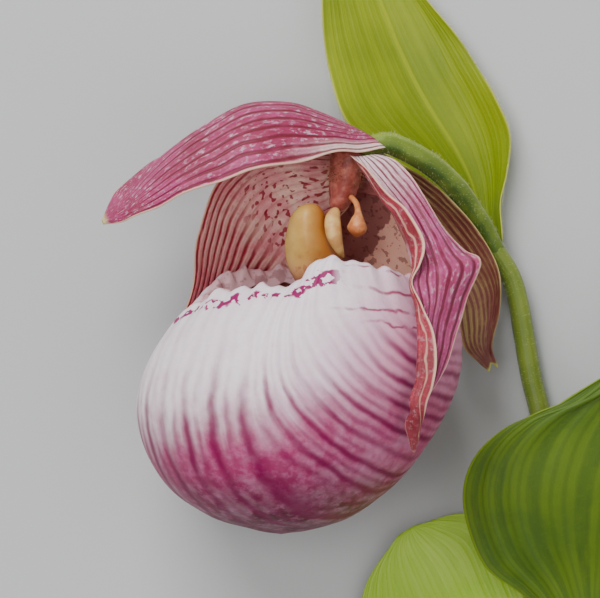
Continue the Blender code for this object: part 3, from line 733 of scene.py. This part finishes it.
def sepal_material(name, light, deep, vein, count, margin=(230, 186, 160), tip=(224, 206, 140),
                   speck=(240, 206, 220), speck_share=0.6, width=0.26, lace_long=60.0,
                   fine_share=0.25, vein_share=0.9, margin_share=0.012, tip_from=0.965,
                   low=None, low_from=0.0, base=None, base_share=0.0, band=None, spots=0.0,
                   painted_shade=None, richness=1.0, brightness=1.0):
    """Striped petal: dark veins on a mottled ground, pale specks, cream margin and tip."""
    g = Graph(name, subsurface=0.12, sheen=0.12)
    cloud = g.smooth(g.body_noise(7.0, 3.0) + g.body_noise(0.7, 3.0) * 0.3, 0.5, 0.8)
    g.ground = g.mix(cloud, light, deep)
    if low:
        g.lay(g.smooth(g.u, low_from, 0.95), low)
    phase = g.v + (g.body_noise(5.0) - 0.5) * (0.5 / count)
    main = g.lines(phase, count, width, 0.5)
    between = g.smooth(main, 0.5, 0.0)
    lace = g.noise(g.vector(g.u * lace_long, g.v * (count * 2.6), 0.0), 1.0, 4.0, 0.65)
    cluster = 0.35 + g.smooth(g.body_noise(4.5, 2.0), 0.42, 0.58) * 0.65
    specks = g.smooth(lace, 0.5, 0.64) * between * cluster
    g.lay(specks * speck_share, speck)
    if base:
        g.lay(g.smooth(g.u + lace * 0.25, base_share + 0.12, 0.14) * 0.85, base)
    if band:
        g.lay(g.smooth(g.v, 0.83, 0.95) * g.smooth(g.u + lace * 0.4, 0.6, 0.34) * 0.8, band)
    breaks = g.smooth(g.noise(g.vector(g.u * 22.0, g.v * count, 3.0), 1.0), 0.3, 0.46)
    stripes = main * (breaks * 0.35 + 0.65)
    fine = g.lines(phase + 0.5 / count, count, 0.16) * fine_share * breaks
    cover = g.math("MAXIMUM", stripes, fine) * vein_share
    if spots:
        reach = g.smooth(g.u, spots, spots * 0.7) * g.smooth(g.v, 0.16, 0.34)
        spread = g.vector(g.u * 46.0, g.v * (count * 1.9), 8.0)
        blots = g.smooth(g.noise(spread, 1.0, 1.0, 0.4), 0.57, 0.62)
        cover = g.math("MAXIMUM", cover * (1.0 - reach * 0.85), blots * reach * 0.85)
    g.lay(cover, vein)
    # painted shade at the base of the blade, where the upper sepal shades it
    if painted_shade:
        g.lay(g.smooth(g.u, 0.2, 0.04) * 0.55, painted_shade)
    g.lay(margin_mask(g, margin_share) * 0.85, margin)
    g.lay(g.smooth(g.u, tip_from, 0.998), tip)
    g.bump(main * -0.8 + g.body_noise(0.5, 3.0) * 0.5 + specks * 0.4, 0.18, 0.8)
    return g.colour(richness, brightness)


def foliage_material(name, light, deep, vein, count, base=None, margin=None, rib=None,
                     fine_share=0.22, vein_share=0.5, roughness=0.42, brightness=1.0):
    """Green leaf: parallel veins, faint cloudiness, pale margin, fine grain."""
    g = Graph(name, roughness=roughness, subsurface=0.1, sheen=0.06)
    g.ground = g.mix(g.smooth(g.body_noise(14.0, 3.0), 0.34, 0.66), light, deep)
    # base: a darker colour over the lower part of the blade; on the bract it is painted shade
    if base:
        g.lay(g.smooth(g.u, 0.45, 0.0) * 0.8, base)
    main = leaf_veins(g, count, 0.16)
    fine = leaf_veins(g, count * 4, 0.3, 0.3, 4.0)
    g.lay(fine * fine_share, vein)
    g.lay(main * vein_share, vein)
    g.lay(g.smooth(abs(g.v - 0.5), 0.02, 0.006) * 0.5, rib or light)
    weave = g.noise(g.vector(g.u * 160.0, g.v * 46.0, 0.0), 1.0, 2.0)
    g.lay(g.smooth(weave, 0.52, 0.7) * 0.25, light)
    g.lay(g.smooth(g.body_noise(1.6, 4.0), 0.62, 0.75) * 0.18, deep)
    g.lay(margin_mask(g, 0.01) * 0.6, margin or light)
    g.bump(fine * 0.4 + main * 0.6 + g.body_noise(0.45, 3.0) * 0.5, 0.12, 0.6)
    return g.colour(1.25, brightness)


# Colours are red, green and blue screen values from 0 to 255.
FLOOR_COLOUR = (182, 184, 184)
POUCH_WHITE = (232, 222, 228)
POUCH_BLUSH = (214, 168, 192)
POUCH_PINK = (154, 62, 100)
POUCH_DARK = (66, 8, 26)
POUCH_SIDE = (196, 124, 150)
POUCH_VEIN = (110, 22, 66)
POUCH_DASH = (128, 8, 80)
POUCH_LINE = (130, 36, 72)
POUCH_LIP = (214, 168, 172)
# painted shade for the creases of the rolled lip
POUCH_CREASE_SHADE = (120, 62, 66)
POUCH_TAN = (230, 166, 140)
# maroon of the pouch's inner wall: partly its own colour, partly painted shade inside the mouth and at the
# top of the lug
POUCH_MAROON_AND_SHADE = (150, 84, 76)
POUCH_FLECK = (206, 136, 172)
POUCH_HAZE = (212, 176, 196)
POUCH_SPOT = (110, 40, 44)
# Lines along the rim at its right: height label, half width, x at which the line begins.
RIM_LINES = ((0.940, 0.014, 4.0), (0.852, 0.011, 7.0), (0.792, 0.008, 3.0), (0.756, 0.006, 8.0))


def pouch_outside():
    """White shoulders, magenta belly in streaks, dark veins and a row of dashes under the rim."""
    g = Graph("pouch_outside", roughness=0.46, subsurface=0.15, specular=0.22)
    count = VEIN_COUNT
    wander = (g.body_noise(7.0, 2.0) - 0.5) * (0.45 / count)
    phase = g.u + wander
    streak = g.noise(g.vector(g.u * (count * 1.8), g.v * 2.0, 0.0), 1.0, 3.0, 0.6)
    patch = g.body_noise(4.0, 4.0, 0.6)
    level = g.y - g.x * 0.15 - (streak - 0.5) * 13.0 - (patch - 0.5) * 8.0
    belly = g.smooth(level, 5.0, -8.0)
    right = g.smooth(g.x - g.y * 0.25, 2.0, 20.0)
    blush = g.smooth(g.y - g.x * 0.8 - (streak - 0.5) * 16.0, 15.0, -10.0)
    g.ground = g.mix(blush * 0.8, POUCH_WHITE, POUCH_BLUSH)
    g.lay(right * 0.8, POUCH_SIDE)
    g.lay(belly * (0.94 - right * 0.25), POUCH_PINK)
    bottom = g.smooth(g.y - g.x * 0.1 - (patch - 0.5) * 8.0, -9.0, -22.0)
    g.lay(bottom * 0.95, POUCH_DARK)
    pale = g.smooth(g.body_noise(1.6, 5.0, 0.65), 0.46, 0.66)
    g.lay(pale * (0.08 + belly * 0.24), POUCH_FLECK)
    haze = g.smooth(g.body_noise(5.0, 4.0, 0.6), 0.42, 0.66)
    g.lay(haze * 0.22, POUCH_HAZE)
    main = g.lines(phase, count, 0.2, 0.8)
    minor = g.lines(phase + 0.5 / count, count, 0.14, 0.8)
    rise = g.smooth(level, 11.0, -3.0)
    open_rim = 1.0 - g.smooth(g.v, 0.68, 0.78) * g.smooth(g.x, 0.0, 8.0)
    side = right * g.smooth(g.x, 28.0, 17.0) * 0.85
    strong = g.math("MAXIMUM", rise * 0.72, side) * open_rim + 0.11
    broken = g.smooth(g.noise(g.vector(g.u * count, g.v * 7.0, 5.0), 1.0), 0.34, 0.56)
    g.lay(main * strong * (0.6 + broken * 0.4), POUCH_VEIN)
    g.lay(minor * strong * broken * 0.55, POUCH_VEIN)
    rim_marks(g)
    relief = main * -0.5 + g.body_noise(1.4, 4.0, 0.6) * 0.8 + g.body_noise(0.4, 2.0) * 0.2
    g.bump(relief, 0.24, 0.6)
    return g.colour()


def rim_marks(g):
    """Dashes under the rim at the front, thin lines along it at the right, painted shade in the creases of
    the lip.
    """
    height = g.v + (g.body_noise(3.4) - 0.5) * 0.1
    front = g.smooth(g.x, 8.0, 5.0)
    row = g.smooth(height, 0.845, 0.853) * g.smooth(height, 0.888, 0.878) * front
    pieces = g.smooth(g.body_noise(1.4, 2.0), 0.47, 0.5)
    g.lay(row * pieces * 0.95, POUCH_DASH)
    even = g.v + (g.body_noise(6.0, 3.0) - 0.5) * 0.06 + g.x * 0.0012
    gaps = g.smooth(g.body_noise(2.6, 2.0), 0.34, 0.56)
    for place, half, start in RIM_LINES:
        away = abs(even - place)
        line = g.smooth(away, half, half * 0.1) * g.smooth(g.x, start, start + 9.0) * gaps
        g.lay(line * 0.85, POUCH_LINE)
    lip = g.smooth(g.v, 0.96, 1.02)
    g.lay(lip * 0.8, POUCH_LIP)
    # partly painted shade: maroon at the top of the lug, where it reaches up under the sepals
    tongue = g.smooth(g.y, 24.0, 28.0) * g.smooth(g.v, 0.9, 0.98)
    g.lay(tongue * 0.85, POUCH_MAROON_AND_SHADE)
    # painted shade in the creases of the rolled lip
    crease_shade = g.smooth(g.body_noise(2.0, 3.0), 0.52, 0.64)
    g.lay(crease_shade * g.smooth(g.v, 0.99, 1.04) * 0.5, POUCH_CREASE_SHADE)


def pouch_inside():
    """Tan pink side wall at the right, maroon brown above and deeper down, partly painted shade, with dark
    spots.
    """
    g = Graph("pouch_inside", roughness=0.5, subsurface=0.08)
    jag = (g.body_noise(2.0, 3.0) - 0.5) * 6.0
    side = g.y - g.x * 1.74 + jag
    # the maroon over the wall and deeper down is partly painted shade inside the pouch
    g.ground = g.mix(g.smooth(side, 4.4, 3.6), POUCH_MAROON_AND_SHADE, POUCH_TAN)
    g.lay(g.smooth(g.y, 19.0, 10.0), POUCH_MAROON_AND_SHADE)
    dots = g.smooth(g.body_noise(1.3, 2.0), 0.56, 0.62)
    g.lay(dots * 0.6, POUCH_SPOT)
    g.bump(g.body_noise(0.8, 3.0), 0.2, 0.6)
    return g.colour(0.85, 1.5)


def staminode_material():
    """Cream yellow shield, orange tan to its right side, pinkish at its foot."""
    g = Graph("staminode_shield", roughness=0.42, subsurface=0.15)
    cream = g.mix(g.smooth(g.body_noise(2.2, 3.0), 0.4, 0.65), (226, 184, 106), (216, 170, 96))
    g.ground = g.mix(g.smooth(g.v + g.u * 0.2, 0.35, 1.0), cream, (204, 124, 62))
    g.lay(g.smooth(g.u, 0.55, 0.95) * 0.8, (204, 132, 116))
    freckles = g.smooth(g.body_noise(1.3), 0.57, 0.66) * g.smooth(g.u, 0.45, 0.8)
    g.lay(freckles * 0.4, (150, 60, 60))
    g.bump(g.body_noise(0.6, 3.0), 0.08, 0.5)
    return g.colour(1.05, 0.72)


def fleshy_material(name, light, deep, size=2.0):
    """Soft fleshy part in two tones."""
    g = Graph(name, roughness=0.42, subsurface=0.15)
    cloud = g.smooth(g.body_noise(size, 3.0), 0.38, 0.62)
    ends = g.smooth(g.u, 0.35, 0.0) * 0.5
    g.ground = g.mix(cloud, light, deep)
    g.lay(ends, deep)
    g.bump(g.body_noise(0.5, 3.0), 0.12, 0.6)
    return g.colour(1.0, 0.8)


def stalk_material(name, light, deep, ribs):
    """Ribbed green stalk, lighter along its ribs, with painted light along its upper side."""
    g = Graph(name, roughness=0.42, subsurface=0.08, sheen=0.1)
    stripe = g.lines(g.v, ribs, 0.5)
    cloud = g.smooth(g.body_noise(5.0, 3.0), 0.36, 0.64)
    # crest: painted light along the stalk's upper side
    crest = g.smooth(abs(g.v - 0.5), 0.3, 0.1)
    g.ground = g.mix(cloud * 0.3 + stripe * 0.2 + crest * 0.5, deep, light)
    g.lay(g.smooth(g.body_noise(0.7, 3.0), 0.6, 0.75) * 0.25, light)
    g.bump(stripe + g.body_noise(0.5, 3.0) * 0.6, 0.12, 0.6)
    return g.colour(1.0, 0.84)


def cut_material():
    """Cut end of the stem: pale pith, green rind and a scatter of fibre ends."""
    g = Graph("stem_cut", roughness=0.6)
    g.ground = g.mix(g.smooth(g.u, 0.75, 0.95), (196, 206, 140), (104, 128, 52))
    dots = g.add("ShaderNodeTexVoronoi")
    g.put(dots.inputs["Vector"], g.place)
    dots.inputs["Scale"].default_value = 1000.0 / 0.5
    g.lay(g.smooth(dots.outputs["Distance"], 0.3, 0.18) * 0.5, (120, 132, 70))
    g.bump(g.body_noise(0.3, 2.0), 0.1, 0.6)
    return g.colour()


def hair_material(name, light, deep):
    """Fine translucent hairs."""
    g = Graph(name, roughness=0.6, subsurface=0.2)
    g.ground = g.mix(g.smooth(g.body_noise(3.0), 0.35, 0.65), light, deep)
    return g.colour()


def floor_material():
    """Plain pale paper floor."""
    made = bpy.data.materials.new("floor")
    made.use_nodes = True
    shader = made.node_tree.nodes["Principled BSDF"]
    shader.inputs["Base Color"].default_value = srgb(*FLOOR_COLOUR)
    shader.inputs["Roughness"].default_value = 0.9
    return made


# Pieces


def pouch_vein_label(points):
    """Share of the veins' span at each point: arcs on the near side, slices elsewhere."""
    x, y, z = points[..., 0], points[..., 1], points[..., 2]
    near = np.hypot(x - VEIN_CENTRE[0], y - VEIN_CENTRE[1])
    across = math.cos(VEIN_TURN) * x + math.sin(VEIN_TURN) * z
    slices = VEIN_START - VEIN_RATE * across
    share = np.clip((across - VEIN_BLEND[0]) / VEIN_BLEND[1], 0.0, 1.0)
    share = share * share * (3.0 - 2.0 * share)
    return (near * share + slices * (1.0 - share) + VEIN_SHIFT) / VEIN_SPAN


def hump(place, centre, width):
    """Smooth hump that is 1 at the centre and falls off on both sides."""
    return np.exp(-((place - centre) / width) ** 2)


def turned(angle, direction):
    """Degrees from a direction to angles given in radians, from -180 to 180."""
    return (np.degrees(angle) - direction + 180.0) % 360.0 - 180.0


def pouch_rim_waves(angle):
    """Rise and fall of the rim along its crest, in millimetres, by direction in degrees."""
    step = 0.5 + 0.5 * np.tanh((angle - 94.0) / 1.6)
    dip = -3.3 * step * hump(np.maximum(angle, 96.0), 96.0, 26.0)
    lift = 0.7 * hump(angle, 80.0, 9.0) + 1.1 * hump(angle, 139.0, 4.0)
    notch = -0.8 * hump(angle, 132.0, 2.5)
    ripple = 0.30 * np.sin(np.radians(angle) * 23.0) + 0.22 * np.sin(np.radians(angle) * 41.0 + 1.0)
    return dip + lift + notch + ripple


def pouch_rings(angle):
    """Rings of the pouch from its lowest point to the turned-in rim, a point for each angle."""
    side = np.cos(angle)
    front = np.sin(angle)
    turn = turned(angle, POUCH_LUG_DIRECTION)
    tongue = np.where(turn < 0.0, np.exp(-(turn / POUCH_LUG_SPREAD[0]) ** 4),
                      hump(turn, 0.0, POUCH_LUG_SPREAD[1]))
    back = hump(turned(angle, POUCH_BACK_DIRECTION), 0.0, POUCH_BACK_SPREAD)
    waves = pouch_rim_waves(turned(angle, 0.0))
    rings = [np.tile(np.array(POUCH_POLE), (len(angle), 1))]
    for left_x, left_y, right_x, right_y, depth, centre_z, rise in POUCH_ROWS:
        reach = max(rise - POUCH_LUG_FROM, 0.0) / (1.0 - POUCH_LUG_FROM)
        lug = tongue * reach
        x = (left_x + right_x) / 2 + (right_x - left_x) / 2 * side + POUCH_LUG_LEAN[0] * lug ** 2
        y = (left_y + right_y) / 2 + (right_y - left_y) / 2 * side
        y = y + POUCH_RIM_RISE * rise * front ** 2 + POUCH_LUG_RISE * lug
        y = y + POUCH_BACK_LIFT * back * reach
        z = centre_z + depth * front + POUCH_LUG_LEAN[1] * lug ** 2
        if rise > POUCH_WAVES_FROM:
            y = y + waves * (rise - POUCH_WAVES_FROM) / (1.0 - POUCH_WAVES_FROM) * (1.0 - lug)
        rings.append(np.stack([x, y, z], axis=1))
    return np.array(rings)


def build_pouch():
    """Hollow pouch with a ruffled, turned-in rim."""
    turns, ups = POUCH_STEPS
    angle = np.linspace(0.0, 2.0 * math.pi, turns + 1)
    degrees = turned(angle, 0.0)
    profile = pouch_rings(angle)
    grid = np.einsum("ai,ijk->ajk", spline_weights(len(profile), ups), profile)
    height = np.linspace(0.0, POUCH_LABEL_TOP, ups + 1)
    knobs = hump(degrees, -132.0, 34.0) + 0.3 * hump(degrees, 120.0, 30.0)
    swell = hump(height, 1.08, 0.07)
    bulge = 0.6 * np.sin(np.radians(degrees) * 19.0) + 1.4 * np.sin(np.radians(degrees) * 37.0 + 2.0)
    grid[..., 1] += swell[:, None] * (bulge * knobs)[None, :]
    grid[..., 2] = np.maximum(grid[..., 2], 0.0)
    normals = surface_normals(np.concatenate([grid[:, -2:-1], grid, grid[:, 1:2]], axis=1))[:, 1:-1]
    label = pouch_vein_label(grid)
    grooves = np.cos(label * VEIN_COUNT * 2.0 * math.pi) * GROOVE_DEPTH
    keep = np.clip(grid[..., 2] / 2.0, 0.0, 1.0) * np.clip((1.0 - height[:, None]) / 0.1, 0.0, 1.0)
    grid = grid + normals * (grooves * keep)[..., None]
    wall = POUCH_WALL - np.maximum(height - 1.0, 0.0) * POUCH_LIP_TAPER
    inner = grid - normals * wall[:, None, None]
    labels = np.stack([label, np.tile(height[:, None], (1, turns + 1))], axis=2)
    item = two_sided("pouch_skin", grid, inner, labels, True, [pouch_outside(), pouch_inside()])
    return take_place(item, "pouch")


def fade(share, length):
    """1 along a blade, falling to 0 over the given length at both of its ends."""
    return np.clip(np.minimum(share, 1.0 - share) / length, 0.0, 1.0)


def ruffle(amount, waves, phase=0.0):
    """Relief that is flat at the middle and waves at the margins, in millimetres."""
    def shape(u, v):
        rim = np.abs(2.0 * v - 1.0) ** 3
        wave = np.sin(2.0 * math.pi * waves * u + phase + 2.6 * (v > 0.5))
        return amount * rim * fade(u, 0.12) * wave
    return shape


def ribs(amount, count):
    """Relief of low ridges along a blade."""
    return lambda u, v: amount * fade(u, 0.1) * np.cos(2.0 * math.pi * count * v)


def pleats(amount, count):
    """Pleats of a leaf along its parallel veins."""
    def shape(u, v):
        wave = np.abs(np.sin(math.pi * count * v)) - 0.5
        return amount * fade(u, 0.12) * fade(v, 0.08) * wave
    return shape


def both(first, second):
    """Sum of two reliefs."""
    return lambda u, v: first(u, v) + second(u, v)


def build_petals():
    """The coloured blades of the flower."""
    outer = sepal_material("dorsal_outer", (176, 66, 116), (150, 44, 84), (104, 12, 32), 15,
                           band=(244, 224, 216), speck_share=0.7, speck=(236, 190, 214),
                           lace_long=44.0, richness=1.02, brightness=0.90, width=0.27)
    inner = sepal_material("dorsal_inner", (206, 150, 160), (190, 120, 138), (138, 44, 62), 15,
                           speck_share=0.3)
    blade("dorsal_sepal", DORSAL_SEPAL_ROWS, (150, 90), 0.55, [outer, inner],
          both(ruffle(0.45, 4.5), ribs(0.07, 15)), edge=0.2)

    outer = sepal_material("near_petal_outer", (188, 82, 136), (160, 54, 98), (106, 14, 42), 9,
                           base=(246, 222, 224), base_share=0.26, margin_share=0.014,
                           lace_long=50.0, width=0.25, speck_share=0.4, tip=(196, 120, 110),
                           tip_from=0.985, brightness=0.92)
    inner = sepal_material("near_petal_inner", (152, 44, 60), (122, 28, 42), (232, 178, 154), 4,
                           margin_share=0.03, speck_share=0.15, width=0.08, fine_share=0.0,
                           vein_share=0.5, tip=(196, 120, 110), tip_from=0.985)
    blade("petal_near", NEAR_PETAL_ROWS, (220, 88), 0.45, [outer, inner],
          both(ruffle(0.14, 7.0), ribs(0.05, 11)), edge=0.2)

    # the far petal's inner face gets painted shade at its base, under the upper sepal
    inner = sepal_material("far_petal_inner", (250, 214, 200), (232, 168, 170), (138, 18, 46), 12,
                           low=(176, 54, 88), low_from=0.16, spots=0.44, speck_share=0.3,
                           width=0.36, painted_shade=(120, 66, 50), richness=1.15, brightness=1.05)
    outer = sepal_material("far_petal_outer", (190, 100, 132), (168, 74, 106), (128, 36, 60), 12)
    blade("petal_far", FAR_PETAL_ROWS, (150, 72), 0.45, [inner, outer],
          both(ruffle(0.3, 5.0), ribs(0.07, 12)))

    inner = sepal_material("synsepal_inner", (182, 148, 84), (142, 96, 60), (78, 14, 24), 9,
                           margin=(204, 178, 112), tip=(186, 190, 92), speck=(196, 110, 124),
                           speck_share=0.35, width=0.46, tip_from=0.93, brightness=0.85)
    outer = sepal_material("synsepal_outer", (140, 116, 70), (124, 84, 56), (92, 34, 36), 10,
                           margin=(204, 178, 112), tip=(186, 190, 92), speck=(160, 130, 90))
    blade("synsepal", SYNSEPAL_ROWS, (120, 70), 0.5, [inner, outer],
          both(ruffle(0.25, 3.0), ribs(0.10, 10)))


def build_centre():
    """Column, shield, stigma and the two anthers."""
    tube("column", [COLUMN_TOP] + COLUMN_PATH, [COLUMN_TOP_RADIUS] + COLUMN_RADII, (48, 32),
         [fleshy_material("column_flesh", (196, 108, 92), (150, 66, 56))],
         lambda u, angle: 0.06 * np.cos(3.0 * angle + 2.0 * u), (0.12, 0.15))
    blade("staminode", STAMINODE_ROWS, (60, 48), 1.1, [staminode_material()] * 2,
          lambda u, v: 0.05 * np.sin(9.0 * u) * np.sin(7.0 * v), edge=0.5)
    tube("stigma", STIGMA_PATH, STIGMA_RADII, (36, 24),
         [fleshy_material("stigma_flesh", (232, 190, 116), (214, 156, 92))],
         lambda u, angle: 0.08 * np.cos(2.0 * angle), (0.1, 0.2))
    for node, path, radii in (("anther_near", ANTHER_NEAR_PATH, ANTHER_NEAR_RADII),
                              ("anther_far", ANTHER_FAR_PATH, ANTHER_FAR_RADII)):
        tube(node, path, radii, (40, 24),
             [fleshy_material(node + "_flesh", (226, 150, 90), (204, 116, 66), 1.2)],
             lambda u, angle: 0.10 * np.cos(2.0 * angle + 0.6) * u, (0.0, 0.12))


def build_foliage():
    """Bract, leaves, ovary and stem."""
    # the bract's base colour is painted shade at the foot of the blade
    lime = foliage_material("bract_green", (152, 168, 38), (130, 150, 30), (176, 190, 72), 7,
                            base=(112, 138, 36), margin=(206, 204, 130), rib=(180, 190, 70),
                            vein_share=0.22, fine_share=0.08, roughness=0.55, brightness=0.68)
    lime_back = foliage_material("bract_green_back", (158, 172, 78), (136, 154, 62),
                                 (118, 138, 50), 9, margin=(206, 204, 130))
    blade("bract", BRACT_ROWS, (150, 72), 0.5, [lime_back, lime],
          both(pleats(0.10, 7), ruffle(0.35, 3.5)))

    green = foliage_material("leaf_upper_green", (82, 106, 20), (64, 90, 16), (46, 72, 12), 9,
                             margin=(130, 150, 70), rib=(90, 116, 34), fine_share=0.3,
                             brightness=1.1, roughness=0.55)
    green_back = foliage_material("leaf_upper_back", (126, 148, 72), (104, 130, 58),
                                  (86, 112, 46), 13)
    blade("leaf_upper", LEAF_UPPER_ROWS, (170, 104), 0.5, [green_back, green],
          both(pleats(0.34, 9), ruffle(0.8, 3.0, 0.6)))

    pale = foliage_material("leaf_lower_green", (188, 216, 120), (170, 202, 100), (146, 182, 76), 9,
                            margin=(190, 200, 130), brightness=0.84, fine_share=0.12,
                            vein_share=0.3)
    pale_back = foliage_material("leaf_lower_back", (160, 180, 104), (140, 162, 88),
                                 (122, 146, 70), 11)
    blade("leaf_lower", LEAF_LOWER_ROWS, (150, 80), 0.45, [pale_back, pale], pleats(0.14, 9))

    tube("ovary", OVARY_PATH + STEM_PATH[:1], OVARY_RADII + [OVARY_END_RADIUS], (120, 40),
         [stalk_material("ovary_green", (156, 178, 60), (62, 92, 26), 6)],
         lambda u, angle: 0.05 * np.cos(6.0 * angle), (0.05, 0.0))
    tube("stem", STEM_PATH, STEM_RADII, (240, 36),
         [stalk_material("stem_green", (140, 156, 60), (104, 126, 40), 9), cut_material()],
         lambda u, angle: 0.03 * np.cos(9.0 * angle))


def build_hairs():
    """Down on the bract's margins, the stem and the ovary; longer hairs at the column's base."""
    pale = hair_material("plant_hair", (214, 220, 150), (236, 236, 200))
    brown = hair_material("throat_hair", (190, 130, 100), (120, 66, 50))
    roots = margin_roots(BRACT_ROWS, 1400, 0.6, 3)
    roots += stalk_roots(STEM_PATH, STEM_RADII, (0.0, 0.98), 2400, 0.5, 4)
    roots += stalk_roots(OVARY_PATH, OVARY_RADII, (0.1, 0.98), 1000, 0.5, 5)
    take_place(hair_tuft("plant_hairs", roots, pale, 0.022))
    roots = stalk_roots(COLUMN_PATH, COLUMN_RADII, (0.02, 0.42), 420, 1.4, 6)
    take_place(hair_tuft("throat_hairs", roots, brown, 0.035))


# Picture


def add_camera():
    """Camera straight above the flower, as the photo sees it."""
    data = bpy.data.cameras.new("camera")
    data.sensor_width = SENSOR
    data.lens = SENSOR * CAMERA_HEIGHT / PHOTO_WIDTH
    data.clip_start = 0.05
    data.clip_end = 20.0
    camera = bpy.data.objects.new("camera", data)
    height = CAMERA_HEIGHT + FOCUS_HEIGHT
    camera.location = (CAMERA_CENTRE[0] * MM, CAMERA_CENTRE[1] * MM, height * MM)
    bpy.context.scene.collection.objects.link(camera)
    bpy.context.scene.camera = camera


def add_light(name, place, size, power):
    """Square soft light aimed at the flower."""
    data = bpy.data.lights.new(name, "AREA")
    data.size = size
    data.energy = power
    light = bpy.data.objects.new(name, data)
    light.location = place
    light.rotation_euler = (Vector(LIGHT_AIM) - Vector(place)).to_track_quat("-Z", "Y").to_euler()
    bpy.context.scene.collection.objects.link(light)


def add_studio():
    """Pale floor, key light from the top left, weak fill and an even pale surround."""
    mesh = bpy.data.meshes.new("floor")
    corners = [(FLOOR_REACH * x, FLOOR_REACH * y, 0.0) for x, y in ((-1, -1), (1, -1), (1, 1), (-1, 1))]
    mesh.from_pydata(corners, [], [(0, 1, 2, 3)])
    mesh.materials.append(floor_material())
    floor = bpy.data.objects.new("floor", mesh)
    bpy.context.scene.collection.objects.link(floor)
    floor.location.z = -FLOOR_DROP
    for light in LIGHTS:
        add_light(*light)
    world = bpy.data.worlds.new("surround")
    world.use_nodes = True
    glow = world.node_tree.nodes["Background"]
    glow.inputs["Color"].default_value = SURROUND_COLOUR
    glow.inputs["Strength"].default_value = SURROUND_STRENGTH
    bpy.context.scene.world = world


build_pouch()
build_petals()
build_centre()
build_foliage()
build_hairs()
add_camera()
add_studio()
